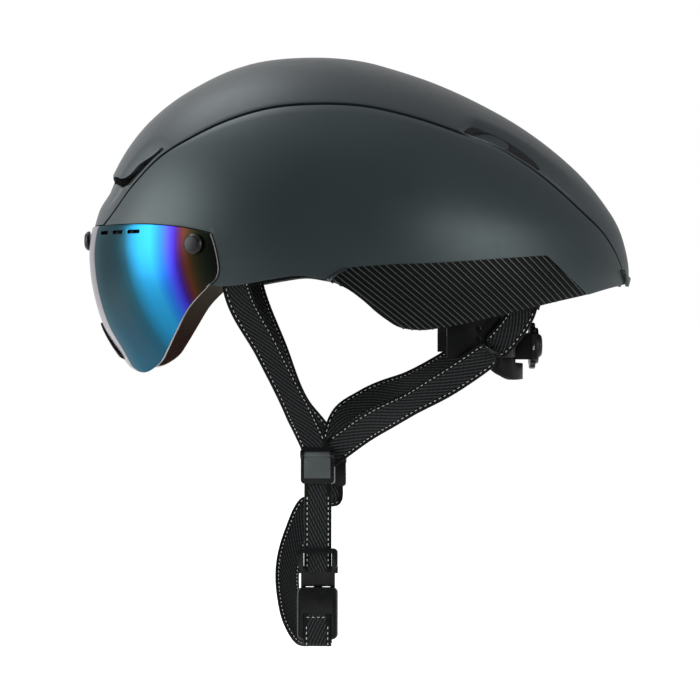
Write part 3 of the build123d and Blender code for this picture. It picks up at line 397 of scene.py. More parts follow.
# %% The form as a formula
FRONT_REACH, REAR_REACH, HALF_WIDTH, CROWN_HEIGHT, APEX_X = 127.4, 177.6, 103.0, 103.0, -2.0
FLARE, TAPER = 0.06, 0.12
RINGS = np.array([
    (-0.796, 0.790, 0.790, 0.800), (-0.631, 0.868, 0.862, 0.880), (-0.485, 0.934, 0.918, 0.945),
    (-0.340, 0.973, 0.960, 0.985), (-0.194, 0.995, 0.988, 1.000), (-0.048, 1.000, 1.000, 0.988),
    (0.078, 0.984, 0.997, 0.963), (0.194, 0.955, 0.980, 0.921), (0.340, 0.909, 0.937, 0.852),
    (0.485, 0.846, 0.870, 0.760), (0.621, 0.762, 0.778, 0.652), (0.748, 0.648, 0.660, 0.522),
    (0.854, 0.512, 0.520, 0.388), (0.932, 0.378, 0.375, 0.257), (0.981, 0.230, 0.225, 0.148),
    (0.998, 0.080, 0.078, 0.052), (1.000, 0.000, 0.000, 0.000)])
RISES = np.arcsin(RINGS[:, 0])


def smooth_read(knots, values, at):
    """A smooth curve through values at knots, read at other places."""
    at = np.clip(at, knots[0], knots[-1])
    step = np.clip(np.searchsorted(knots, at) - 1, 0, len(knots) - 2)
    slopes = np.gradient(values, knots, axis=0)
    width = knots[step + 1] - knots[step]
    t = (at - knots[step]) / width
    shape = (...,) + (None,) * (values.ndim - 1)
    t, width = t[shape], width[shape]
    h00, h10 = 2 * t**3 - 3 * t**2 + 1, t**3 - 2 * t**2 + t
    h01, h11 = -2 * t**3 + 3 * t**2, t**3 - t**2
    start, end = step, step + 1
    return (h00 * values[start] + h10 * width * slopes[start]
            + h01 * values[end] + h11 * width * slopes[end])


def shares_at(level):
    """Front, side and rear shares at heights in millimetres."""
    return smooth_read(RISES, RINGS[:, 1:], np.arcsin(np.clip(level / CROWN_HEIGHT, -0.796, 1.0)))


def half_breadth(x, level, inset=0.0):
    """The shell's |y| at side-view points, in millimetres, and 0 outside its outline."""
    front, side, rear = np.moveaxis(shares_at(level), -1, 0)
    behind = x > APEX_X
    reach = np.where(behind, (REAR_REACH - inset) * rear, (FRONT_REACH - inset) * front)
    along = np.clip((x - APEX_X) / np.maximum(reach, 1e-6), -1, 1)
    bulge = 1 + np.where(behind, -TAPER, FLARE) * along**2
    return (HALF_WIDTH - inset) * side * np.sqrt(1 - along**2) * bulge


def turn_of(x, level):
    """The angle round the ring at a side-view point: -90 degrees at the front, +90 at the tail."""
    front, _, rear = np.moveaxis(shares_at(level), -1, 0)
    reach = np.where(x > APEX_X, REAR_REACH * rear, FRONT_REACH * front)
    return np.arcsin(np.clip((x - APEX_X) / reach, -1, 1))


def on_shell(turn, level, inset=0.0):
    """Points of the form at a turn and a level, on the wearer's left, in millimetres."""
    front, side, rear = np.moveaxis(shares_at(level), -1, 0)
    along, across = np.sin(turn), np.cos(turn)
    behind = along > 0
    reach = np.where(behind, (REAR_REACH - inset) * rear, (FRONT_REACH - inset) * front)
    bulge = 1 + np.where(behind, -TAPER, FLARE) * along**2
    y = -(HALF_WIDTH - inset) * side * across * bulge
    z = np.where(level > 0, level * (CROWN_HEIGHT - inset) / CROWN_HEIGHT, level)
    return np.stack([APEX_X + reach * along, y, z], -1)


print("shell", FRONT_REACH + REAR_REACH, "mm long and", 2 * HALF_WIDTH, "mm wide")


# %% [markdown]
# ## Outlines on the shell
# The same side-view outlines as in the CAD cut the form into skins. Each is a smooth line through a few
# points. A skin is then a grid stretched between two of these lines, so its faces run along its edges,
# where a whole shell cut with booleans would have ragged shading along every cut.

# %% Outlines
def side_points(shares):
    shares = np.array(shares)
    reach = np.where(shares[:, 0] < 0, FRONT_REACH, REAR_REACH)
    return np.stack([APEX_X + shares[:, 0] * reach, shares[:, 1] * CROWN_HEIGHT], -1)


def smooth_line(points, count):
    """count points evenly spaced along a smooth line through points."""
    points = np.asarray(points, float)
    knots = np.concatenate([[0], np.cumsum(np.linalg.norm(np.diff(points, axis=0), axis=1))])
    fine = smooth_read(knots, points, np.linspace(0, knots[-1], 40 * len(points)))
    return even(fine, count)


def even(points, count):
    """The same polyline with count points at even distances."""
    lengths = np.concatenate([[0], np.cumsum(np.linalg.norm(np.diff(points, axis=0), axis=1))])
    at = np.linspace(0, lengths[-1], count)
    return np.stack([np.interp(at, lengths, points[:, k]) for k in range(points.shape[1])], -1)


SEAM = side_points([
    (-0.925, 0.066), (-0.8995, 0.096), (-0.772, 0.286), (-0.647, 0.434), (-0.507, 0.532),
    (-0.362, 0.613), (-0.174, 0.678), (-0.009, 0.696), (0.138, 0.689), (0.309, 0.627),
    (0.460, 0.542), (0.544, 0.492), (0.663, 0.373), (0.815, 0.159), (0.908, 0.008), (0.952, -0.115),
    (0.978, -0.242)])
EDGE = side_points([
    (-0.440, -0.250), (-0.358, -0.252), (-0.286, -0.243), (-0.169, -0.218), (-0.054, -0.201),
    (0.040, -0.221), (0.0985, -0.269), (0.158, -0.344), (0.205, -0.415), (0.251, -0.467),
    (0.310, -0.485), (0.403, -0.468), (0.528, -0.423), (0.648, -0.376), (0.748, -0.336),
    (0.840, -0.302), (0.918, -0.267), (0.993, -0.240)])
PANEL_TOP = side_points([
    (0.040, -0.221), (0.078, -0.178), (0.196, -0.148), (0.362, -0.136), (0.489, -0.122),
    (0.618, -0.106), (0.704, -0.095)])
PANEL_REAR = side_points([(0.704, -0.095), (0.762, -0.183), (0.840, -0.302)])
LENS_TOP = side_points([
    (-0.995, 0.064), (-0.824, 0.064), (-0.704, 0.061), (-0.613, 0.052), (-0.535, 0.040),
    (-0.480, 0.026), (-0.423, 0.009)])
LENS_BACK = side_points([
    (-0.423, 0.009), (-0.404, -0.070), (-0.394, -0.134), (-0.392, -0.186), (-0.400, -0.218),
    (-0.432, -0.258)])
LENS_FOOT = side_points([
    (-0.432, -0.258), (-0.516, -0.369), (-0.581, -0.509), (-0.619, -0.596), (-0.651, -0.659),
    (-0.680, -0.690), (-0.729, -0.718), (-0.770, -0.712), (-0.805, -0.692), (-0.832, -0.661)])
print(len(SEAM), "points on the seam,", len(EDGE), "on the lower edge")


# %% [markdown]
# A grid primitive is the start of every skin. Its points go where a place function sends them. A place
# is worked out in the side view as an angle round the ring and a level, and then put on the form.

# %% Grids between outlines
def shape_grid(name, columns, rows, place):
    """A plane of columns by rows faces whose points go where place(s, t) says, in millimetres."""
    deselect()
    bpy.ops.mesh.primitive_grid_add(x_subdivisions=columns, y_subdivisions=rows, size=1)
    piece = bpy.context.object
    piece.name = piece.data.name = name
    flat = np.zeros(len(piece.data.vertices) * 3)
    piece.data.vertices.foreach_get("co", flat)
    flat = flat.reshape(-1, 3)
    piece.data.vertices.foreach_set("co", (place(flat[:, 0] + 0.5, flat[:, 1] + 0.5) * MM).ravel())
    piece.data.update()
    return piece


def stretch(top, foot, start=None, end=None):
    """A place function between four lines of (turn, level), corners shared."""
    def read(line, t):
        where = t * (len(line) - 1)
        low = np.clip(where.astype(int), 0, len(line) - 2)
        return line[low] + (line[low + 1] - line[low]) * (where - low)[:, None]

    def place(s, t):
        """s runs along the lines and t from the foot to the top."""
        s, t = np.clip(s, 0, 1), np.clip(t, 0, 1)
        mix = read(top, s) * t[:, None] + read(foot, s) * (1 - t)[:, None]
        for line, weight, column in ((start, 1 - s, 0), (end, s, -1)):
            if line is not None:
                straight = top[column] * t[:, None] + foot[column] * (1 - t)[:, None]
                mix = mix + (read(line, t) - straight) * weight[:, None]
        return mix
    return place


def to_turns(points):
    """Side-view points as (turn, level)."""
    return np.stack([turn_of(points[:, 0], points[:, 1]), points[:, 1]], -1)


def even_turns(line, count):
    """A (turn, level) line with points evenly spaced over the form: a radian is about 100 mm there."""
    return even(line * [100, 1], count) / [100, 1]


def sided(place, side, inset=0.0):
    """A place function on the wearer's left (-1) or right (1) side of the form."""
    def on_side(s, t):
        flat = place(s, t)
        points = on_shell(flat[:, 0], flat[:, 1], inset)
        points[:, 1] *= -side
        return points
    return on_side


# %% [markdown]
# A sheet has no thickness yet. Solidify gives it its wall, after its faces are turned outwards, because
# the wall grows inwards from them. A bevel on the sharp edges gives them the highlight that real edges
# have. Sheets that meet are joined first, and their doubled points merged, so that no wall runs between.

# %% Walls and soft edges
def outward(piece):
    """Turns the faces of an open sheet so that they look away from the head."""
    centre = Vector((0, 0, -20 * MM))
    total = sum((face.normal.dot(face.center - centre) * face.area for face in piece.data.polygons), 0.0)
    if total < 0:
        piece.data.flip_normals()


def thicken(piece, wall_mm, offset=-1.0, rim=0, inner=0):
    """Gives an open sheet its wall."""
    outward(piece)
    apply_modifier(piece, "SOLIDIFY", thickness=wall_mm * MM, offset=offset, use_even_offset=False,
                   material_offset=inner, material_offset_rim=rim)


def soften(piece, width_mm, segments=2, angle=40):
    """Rounds the sharp edges."""
    apply_modifier(piece, "BEVEL", width=width_mm * MM, segments=segments, limit_method="ANGLE",
                   angle_limit=math.radians(angle), harden_normals=False)


def join_sheets(name, sheets):
    """Joins sheets into one and merges their shared edges."""
    choose(sheets[0])
    for sheet in sheets:
        sheet.select_set(True)
    bpy.ops.object.join()
    made = bpy.context.object
    made.name = made.data.name = name
    face_outwards(made, merge_mm=0.02)
    return made


# %% [markdown]
# ## The side skins
# Each side skin is one sheet with a notch for the visor, so it is made of two grids that share an edge:
# an upper one from the seam down to the visor's top edge and on to the tail, and a lower one behind the
# visor. One grid alone would have to fold round the notch's corner, and its faces would pinch there.

# %% Lines of the side skins
VISOR_GAP, SEAM_GAP, SKIN_WALL = 0.6, 1.6, 2.0


def grown(points, gap):
    """An outline of the visor moved outwards by a gap."""
    middle = side_points([(-0.700, -0.250)])[0]
    away = points - middle
    return points + away / np.linalg.norm(away, axis=1)[:, None] * gap


def lowered(points, drop):
    return points - np.array([0, drop])


lens_top_out, lens_back_out = grown(LENS_TOP, VISOR_GAP), grown(LENS_BACK, VISOR_GAP)
seam_line = smooth_line(lowered(SEAM, SEAM_GAP), 400)
top_line = smooth_line(lens_top_out, 400)
start_x = np.interp(6.6 + VISOR_GAP * 0.5, seam_line[:60, 1], seam_line[:60, 0])
corner = top_line[-1]
front_seam = seam_line[(seam_line[:, 0] >= start_x) & (seam_line[:, 0] < corner[0] + 8)]
rear_seam = seam_line[seam_line[:, 0] >= corner[0] + 8]
front_foot = top_line[top_line[:, 0] >= start_x]
front_top = even_turns(to_turns(even(front_seam, 200)), 70)
front_low = even_turns(to_turns(even(front_foot, 200)), 70)
tail_foot = EDGE[-1]
belt = smooth_line([corner, (corner[0] + 18, corner[1] - 1.5), (-2, -5), (60, -3), (110, 0), (150, -7),
                    (tail_foot[0] - 1.0, tail_foot[1] + 3)], 300)
rear_top = even_turns(to_turns(np.vstack([front_seam[-1:], rear_seam])), 221)
rear_belt = even_turns(to_turns(belt), 221)
edge_start = np.array([lens_back_out[-1][0] + 0.3, np.interp(lens_back_out[-1][0], EDGE[:6, 0], EDGE[:6, 1])])
panel_line = smooth_line(PANEL_TOP, 120)
edge_middle = EDGE[(EDGE[:, 0] > edge_start[0] + 3) & (EDGE[:, 0] < 4)]
lower_edge = np.vstack([
    smooth_line(np.vstack([edge_start, edge_middle, PANEL_TOP[0]]), 60),
    panel_line[1:], smooth_line(PANEL_REAR, 30)[1:],
    smooth_line(EDGE[-3:], 30)[1:]])
low_edge = even_turns(to_turns(even(lower_edge, 400)), 221)
lens_rear = to_turns(even(smooth_line(lens_back_out, 60), 30))[::-1]
print("seam", len(rear_top), "points behind the visor's corner,", len(front_top), "before it")

# %% [markdown]
# Both sides are built by the same function from the same lines. A mirrored copy would do too, but its
# faces would have to be turned round again.

# %% Side skins
def side_skin(side, wearers):
    name = wearers + "_side_skin"
    upper_front = shape_grid(name, 69, 16, sided(stretch(front_top, front_low), side))
    upper_rear = shape_grid(name, 220, 16, sided(stretch(rear_top, rear_belt), side))
    lower = shape_grid(name, 220, 14, sided(stretch(rear_belt, low_edge, lens_rear), side))
    skin = join_sheets(name, [upper_front, upper_rear, lower])
    thicken(skin, SKIN_WALL)
    soften(skin, 0.45)
    return finish_piece(skin, "helmet", "shell_side", side_paint, replaced=[wearers + "_side_shell"])


for side, wearers in ((-1, "left"), (1, "right")):
    skin = side_skin(side, wearers)
    print(skin.name, len(skin.data.polygons), "faces")

# %% [markdown]
# ## The crown skin
# The crown band runs from the brow over the head to the tail tip between the two seams. A grid on level
# rings would pinch at the top, so this one is laid out in slices that fan out round a line across the
# helmet: each slice crosses the band from seam to seam. A slice's distance to the form has no formula,
# so it is found by halving the range again and again.

# %% Slices of the crown
FAN_X, FAN_Z = 0.0, -30.0


def slice_radius(angle, y, inset=0.0):
    """Distance from the fan's line to the form, at a slice's angle and a place across."""
    low, high = np.zeros_like(angle), np.full_like(angle, 230.0)
    for _ in range(34):
        middle = (low + high) / 2
        x, z = FAN_X + middle * np.cos(angle), FAN_Z + middle * np.sin(angle)
        inside = (half_breadth(x, np.clip(z, -80, CROWN_HEIGHT), inset) > np.abs(y)) & (z < CROWN_HEIGHT)
        low, high = np.where(inside, middle, low), np.where(inside, high, middle)
    return low


seam_up = smooth_line(SEAM, 500)
seam_angle = np.arctan2(seam_up[:, 1] - FAN_Z, seam_up[:, 0] - FAN_X)
seam_breadth = half_breadth(seam_up[:, 0], seam_up[:, 1])
order = np.argsort(seam_angle)
TAIL_ANGLE = math.atan2(EDGE[-1][1] - FAN_Z, EDGE[-1][0] - FAN_X)
BROW_Z = LENS_TOP[0][1] + VISOR_GAP


def brow_angle(y):
    """The angle at which a place across the front meets the visor's top edge."""
    low, high = np.full_like(y, math.radians(150.0)), np.full_like(y, math.radians(172.0))
    for _ in range(30):
        middle = (low + high) / 2
        z = FAN_Z + slice_radius(middle, y) * np.sin(middle)
        low, high = np.where(z > BROW_Z, middle, low), np.where(z > BROW_Z, high, middle)
    return low


def slice_point(angle, y, inset=0.0):
    radius = slice_radius(angle, y) - inset
    return np.stack([FAN_X + radius * np.cos(angle), y, FAN_Z + radius * np.sin(angle)], -1)


print("crown slices from", round(math.degrees(TAIL_ANGLE)), "degrees at the tail up and over")

# %% [markdown]
# The real skin isn't even: it dips towards the vents beside the seam, and steps in below the crown's lip
# at the brow. Each dip is a depth that fades in and out over a range of angles and of distances from
# the seam. A displace modifier would need a texture for this, and a formula says it more plainly.

# %% Crown skin
REAR_DIP, FRONT_DIP, BROW_STEP = 4.6, 4.2, 2.6


def crown_place(s, t):
    """s runs from the brow to the tail and t from the left seam to the right one."""
    across = 2 * t - 1
    brow = brow_angle(across * 41.0)
    angle = brow + (TAIL_ANGLE - brow) * s
    breadth = np.interp(angle, seam_angle[order], seam_breadth[order])
    y = across * breadth
    return slice_point(angle, y, crown_dent(angle, y, breadth))


def rise(value, start, end):
    """0 before start, 1 after end, smooth between."""
    t = np.clip((value - start) / (end - start), 0, 1)
    return t * t * (3 - 2 * t)


def crown_dent(angle, y, breadth):
    """How deep the skin dips, in millimetres, at the rear vents, the front vents and the brow."""
    degrees = np.degrees(angle)
    from_seam = breadth - np.abs(y)
    rear = rise(-degrees, -49.5, -46.5) * rise(degrees, 14.0, 44.0)
    rear *= rise(from_seam, 0.6, 3.2) * (1 - rise(from_seam, 5.0, 19.0))
    front = rise(degrees, 134.5, 141.5) * (1 - rise(degrees, 148.5, 152.0))
    front *= rise(from_seam, 1.4, 3.4) * (1 - rise(from_seam, 5.0, 19.0))
    brow = rise(degrees, 150.9, 151.9) * (1 - rise(degrees, 153.5, 160.0)) * rise(from_seam, 3.0, 16.0)
    return REAR_DIP * rear + FRONT_DIP * front + BROW_STEP * brow


crown = shape_grid("crown_skin", 220, 84, crown_place)
thicken(crown, SKIN_WALL)
print("crown before its vents", len(crown.data.polygons), "faces")


# %% [markdown]
# The front vents are mouths under the crown's lip: a slot over the brow that widens into a leaf beside
# the seam. A cutter with the mouth's outline, seen from the front, is extruded back through the skin and
# taken away with a boolean. Faces left out of the grid would leave a stepped edge instead.

# %% Front vents
FRONT_VENT = [(0.045, 0.305), (0.200, 0.300), (0.330, 0.285), (0.420, 0.268), (0.461, 0.266), (0.491, 0.278),
              (0.533, 0.310), (0.565, 0.357), (0.585, 0.404), (0.588, 0.464), (0.570, 0.472), (0.540, 0.450),
              (0.500, 0.416), (0.466, 0.382), (0.446, 0.344), (0.420, 0.322), (0.330, 0.330), (0.200, 0.338),
              (0.045, 0.340)]


def vent_cutter(side):
    """The vent's outline, made of a circle whose points are moved onto it, pushed back along X."""
    deselect()
    outline = smooth_line([(y, z) for y, z in FRONT_VENT + FRONT_VENT[:1]], 97)[:-1]
    bpy.ops.mesh.primitive_circle_add(vertices=96, radius=1, fill_type="NGON")
    cutter = bpy.context.object
    for vertex, (y, z) in zip(cutter.data.vertices, outline):
        vertex.co = (-0.150, side * y * HALF_WIDTH * MM, z * CROWN_HEIGHT * MM)
    bpy.ops.object.mode_set(mode="EDIT")
    bpy.ops.mesh.select_all(action="SELECT")
    bpy.ops.mesh.extrude_region_move(TRANSFORM_OT_translate={"value": (0.069, 0, 0)})
    face_outwards(cutter)
    return cutter


def take_away(piece, cutter):
    apply_modifier(piece, "BOOLEAN", operation="DIFFERENCE", object=cutter, solver="EXACT")
    bpy.data.objects.remove(cutter)


for side in (-1, 1):
    take_away(crown, vent_cutter(side))
soften(crown, 0.4)
finish_piece(crown, "helmet", "shell_crown", crown_paint, replaced=["crown_shell"])
print("crown_shell", len(crown.data.polygons), "faces")

# %% [markdown]
# ## The ribbed panels
# The panel low on the tail is a shallow sheet with raised ribs about 2.7 mm apart that run down and
# back. Each rib follows the form along a slanted line from the panel's top edge to its lower edge. The
# ribs could be a bump in the material, but a bump has no outline and no shadow where they are seen at a
# slant, so they are real ridges. First come the sheet and the lines.

# %% Panel sheet and the ribs' lines
RIB_PITCH, RIB_WIDTH, RIB_RISE, PANEL_INSET = 2.7, 0.9, 0.75, 1.1
panel_top = even_turns(to_turns(np.vstack([panel_line, smooth_line(PANEL_REAR, 30)[1:]])), 160)
panel_foot = even_turns(to_turns(smooth_line(EDGE[5:-2], 300)), 160)


def panel_sheet(side, name):
    sheet = shape_grid(name, 159, 14, sided(stretch(panel_top, panel_foot), side, PANEL_INSET))
    thicken(sheet, SKIN_WALL - PANEL_INSET)
    return sheet


def inside_outline(points, outline):
    """Which side-view points lie inside a closed outline."""
    x, z = points[:, 0], points[:, 1]
    inside = np.zeros(len(points), bool)
    for a, b in zip(outline, np.roll(outline, -1, axis=0)):
        crosses = (a[1] > z) != (b[1] > z)
        with np.errstate(divide="ignore", invalid="ignore"):
            inside ^= crosses & (x < (b[0] - a[0]) * (z - a[1]) / (b[1] - a[1]) + a[0])
    return inside


def rib_lines():
    """Side-view lines of the ribs, clipped to the panel."""
    outline = np.vstack([panel_line, smooth_line(PANEL_REAR, 30)[1:], smooth_line(EDGE[5:-2], 120)[::-1]])
    lines = []
    for count in range(-40, 60):
        foot_x = 20 + count * RIB_PITCH * 1.46
        slope = math.tan(math.radians(np.interp(foot_x, [-20, 140], [35, 45])))
        run = np.linspace(-60, 60, 500)
        line = np.stack([foot_x + run, -32 - slope * run], -1)
        kept = line[inside_outline(line, outline)]
        if len(kept) > 12:
            lines.append(even(kept, max(4, int(len(kept) / 14))))
    return lines


print(len(rib_lines()), "ribs on a panel")

# %% [markdown]
# A rib has a low foot on each side and a narrow crest. The crest has a lighter colour than the sides:
# a painted highlight where it catches the light. All ribs of a panel are one mesh, whose faces are marked for
# one or the other.

# %% Ribbed panels
def ridge(line, side):
    """The points of one rib: four across (foot, crest, crest, foot) for each point along."""
    along = np.gradient(line, axis=0)
    normal = np.stack([-along[:, 1], along[:, 0]], -1)
    normal /= np.linalg.norm(normal, axis=1)[:, None]
    rows = []
    foot, crest = PANEL_INSET + 0.1, PANEL_INSET - RIB_RISE
    for offset, inset in ((-0.62, foot), (-0.25, crest), (0.25, crest), (0.62, foot)):
        flat = line + normal * offset * RIB_WIDTH
        points = on_shell(turn_of(flat[:, 0], flat[:, 1]), flat[:, 1], inset)
        points[:, 1] *= -side
        rows.append(points)
    return np.stack(rows, 1)


def rib_mesh(side):
    """All ribs of one panel as one mesh."""
    points, faces, painted_highlight_crest_marks = [], [], []
    for line in rib_lines():
        rows = ridge(line, side)
        base = len(points)
        points += list(rows.reshape(-1, 3) * MM)
        width = rows.shape[1]
        for i in range(len(rows) - 1):
            for j in range(width - 1):
                a = base + i * width + j
                faces.append((a, a + 1, a + width + 1, a + width))
                # Crest faces get the lighter material, a painted highlight.
                painted_highlight_crest_marks.append(1 if j == 1 else 0)
        end = base + (len(rows) - 1) * width
        faces += [tuple(base + k for k in range(width))[::-1], tuple(end + k for k in range(width))]
        for i in range(len(rows) - 1):
            a = base + i * width
            faces.append((a, a + width, a + 2 * width - 1, a + width - 1))
        painted_highlight_crest_marks += [0] * (len(faces) - len(painted_highlight_crest_marks))
    mesh = bpy.data.meshes.new("ribs")
    mesh.from_pydata(points, [], faces)
    mesh.polygons.foreach_set("material_index", painted_highlight_crest_marks)
    made = put_in("ribs", mesh)
    face_outwards(made)
    return made


for side, name in ((-1, "left_rib_panel"), (1, "right_rib_panel")):
    sheet = panel_sheet(side, name + "_sheet")
    ribs = rib_mesh(side)
    ribs.name = name + "_ribs"
    finish_piece(sheet, "helmet", "rib_panel", panel_plastic, replaced=[name])
    # The second finish paints a highlight on the crests.
    finish_piece(ribs, "helmet", "rib_panel", rib_plastic, crest_painted_highlight, smooth=30)
    print(name, len(ribs.data.polygons), "rib faces")

# %% [markdown]
# ## The visor lens
# One lens wraps the whole front, from temple to temple, 1.2 mm proud of the shell, with the notch for
# the nose. It is a grid whose foot follows the lower edge, up and over the nose, so the notch's edge
# is as smooth as the rest, where a boolean would cut across the faces. Its outer face has the mirror,
# its inner face shows the tinted plastic, and its rim is the bare cut edge.

# %% Lens
LENS_PROUD, LENS_WALL = 1.2, 2.0
NOSE_HALF, NOSE_TOP = 22.0, -51.3


def turn_at_breadth(y, level):
    """The front turn of a ring at a place across."""
    low, high = np.full_like(y, -math.pi / 2), np.zeros_like(y)
    for _ in range(40):
        middle = (low + high) / 2
        wide = -on_shell(middle, level)[:, 1]
        low, high = np.where(wide < y, middle, low), np.where(wide < y, high, middle)
    return low


nose = smooth_line([(NOSE_HALF * 1.01, -68.3), (NOSE_HALF * 0.93, -65.0), (NOSE_HALF * 0.72, -60.5),
                    (NOSE_HALF / 2, -56.2), (NOSE_HALF * 0.25, -52.6), (0, NOSE_TOP)], 60)
nose_turns = np.stack([turn_at_breadth(nose[:, 0], nose[:, 1]), nose[:, 1]], -1)
foot_turns = to_turns(smooth_line(LENS_FOOT, 200))
foot_turns = foot_turns[foot_turns[:, 0] > nose_turns[0, 0] + 0.02]
lens_foot = even_turns(np.vstack([foot_turns, nose_turns]), 120)
top_turns = to_turns(smooth_line(LENS_TOP, 200))
top_turns = top_turns[top_turns[:, 0] > -math.pi / 2 + 0.01]
lens_top = even_turns(np.vstack([top_turns[::-1], [[-math.pi / 2, LENS_TOP[0][1]]]]), 120)
lens_end = to_turns(smooth_line(LENS_BACK, 60))[::-1]
half_place = stretch(lens_top, lens_foot, lens_end)


def lens_place(s, t):
    """s runs from the left temple over the nose to the right temple."""
    half = 1 - np.abs(2 * s - 1)
    flat = half_place(half, t)
    points = on_shell(flat[:, 0], flat[:, 1], -LENS_PROUD)
    points[:, 1] *= np.where(s > 0.5, -1, 1)
    return points


lens = shape_grid("mirror_lens", 240, 40, lens_place)
for finish in (lens_mirror, lens_inside, lens_rim):
    lens.data.materials.append(finish)
thicken(lens, LENS_WALL, inner=1, rim=2)
print("lens before its slots", len(lens.data.polygons), "faces")


# %% [markdown]
# Three slots a side near the top let air in behind the lens. Each is a small box with rounded ends,
# turned to face the lens. They cross only a few faces of the grid each, so here a boolean is right.

# %% Lens slots
def slot_cutter(share, side):
    deselect()
    turn = -math.pi / 2 + share * math.pi / 2
    place = on_shell(np.array([turn]), np.array([2.7]), -LENS_PROUD + 1)[0]
    place[1] *= -side
    bpy.ops.mesh.primitive_cube_add(size=1, location=place * MM)
    cutter = bpy.context.object
    bpy.ops.transform.resize(value=(12 * MM, 10 * MM, 2 * MM))
    cutter.rotation_euler.z = -side * share * math.pi / 2
    bpy.ops.object.transform_apply(location=True, rotation=True, scale=True)
    apply_modifier(cutter, "BEVEL", width=0.9 * MM, segments=3, limit_method="NONE")
    return cutter


for side in (-1, 1):
    for share in (0.279, 0.367, 0.448):
        take_away(lens, slot_cutter(share, side))
soften(lens, 0.25)
finish_piece(lens, "visor", "lens", lens_mirror, lens_inside, lens_rim, replaced=["visor_lens"])
print("visor_lens", len(lens.data.polygons), "faces")


# %% [markdown]
# ## Moulded parts
# A hard part's CAD solid has the right shape but knife-sharp edges. A copy of it is merged, its flat
# faces are joined, and a bevel rounds its edges as a mould does. Modelled again from a primitive, it
# might no longer fit its neighbours.

# %% Moulded parts from their CAD solids
def rounded(node, width_mm, slot, finish, segments=2, angle=35, smooth=35):
    made = put_in(node + "_part", frame["nodes"][node].data.copy())
    if made.data.has_custom_normals:
        bpy.ops.mesh.customdata_custom_splitnormals_clear()
    bpy.ops.object.mode_set(mode="EDIT")
    bpy.ops.mesh.select_all(action="SELECT")
    bpy.ops.mesh.remove_doubles(threshold=0.005 * MM)
    bpy.ops.mesh.dissolve_limited(angle_limit=math.radians(1.0))
    bpy.ops.object.mode_set(mode="OBJECT")
    if width_mm:
        soften(made, width_mm, segments, angle)
    return finish_piece(made, BODY_OF[node], slot, finish, replaced=[node], smooth=smooth)


MOULDED = [
    ("left_divider", 0.5, "buckle_plastic", buckle_acetal),
    ("right_divider", 0.5, "buckle_plastic", buckle_acetal),
    ("left_lever", 0.5, "buckle_plastic", lever_acetal),
    ("right_lever", 0.5, "buckle_plastic", lever_acetal),
    ("buckle_socket", 0.6, "buckle_plastic", buckle_acetal),
    ("buckle_plug", 0.4, "buckle_plastic", buckle_acetal),
    ("cradle_frame", 0.5, "cradle_plastic", cradle_nylon), ("left_arm", 0.3, "cradle_plastic", cradle_nylon),
    ("right_arm", 0.3, "cradle_plastic", cradle_nylon), ("dial_housing", 0.6, "cradle_plastic", cradle_nylon),
    ("housing_cover", 0.4, "cradle_plastic", cradle_nylon), ("dial_knob", 0.35, "dial_plastic", dial_nylon),
    ("dial_cap", 0.4, "cap_plastic", cap_acetal), ("dial_pinion", 0.1, "anchor", cradle_nylon),
    ("left_rack", 0.1, "anchor", cradle_nylon), ("right_rack", 0.1, "anchor", cradle_nylon),
    ("magnet_caps", 0.4, "cap_plastic", cap_acetal), ("nose_trim", 0.5, "trim_rubber", nose_rubber),
    ("strap_anchors", 0.3, "anchor", cradle_nylon), ("temple_pins", 0.3, "anchor", cradle_nylon),
    ("seat_magnets", 0.25, "magnet", nickel), ("visor_magnets", 0.2, "magnet", nickel),
    ("housing_screws", 0.2, "screw", steel),
]
for node, width, slot, finish in MOULDED:
    rounded(node, width, slot, finish)
print(len(MOULDED), "moulded parts rounded")

# %% [markdown]
# The liner and the bezel are seen only deep in shade, so their CAD solids get a finish and no more.

# %% Foam and bezel keep their CAD shape
for node, finish in (("foam_liner", liner_foam), ("visor_bezel", bezel_plastic)):
    keep = frame["nodes"][node]
    keep.data.materials.clear()
    keep.data.materials.append(finish)
    print(node, "keeps its shape, in", finish.name)

# %% [markdown]
# ## Webbing
# A strap is flat and keeps its width. Its route is a smooth line through the same points as the CAD's,
# and at each point the strap knows which way its width lies. A curve with a flat bevel would twist as
# it likes between its points, so the width's direction is given too. The ends are given in the own
# axes of the divider that they go into.

# %% Strap routes
NEAR_PIVOT, FAR_PIVOT = np.array([-0.5, -45.0, -133.0]), np.array([5.5, 45.0, -142.5])
SWING = (FAR_PIVOT - NEAR_PIVOT) / np.linalg.norm(FAR_PIVOT - NEAR_PIVOT)


def local_axes(x_dir, z_dir):
    x = np.array(x_dir) - z_dir * np.dot(x_dir, z_dir)
    x /= np.linalg.norm(x)
    return x, np.cross(z_dir, x), z_dir


NEAR_AXES, FAR_AXES = local_axes((1, 0, 0), -SWING), local_axes((-1, 0, 0), SWING)


def near(*p):
    return NEAR_PIVOT + sum(a * v for a, v in zip(NEAR_AXES, p))


def far(*p):
    return FAR_PIVOT + sum(a * v for a, v in zip(FAR_AXES, p))


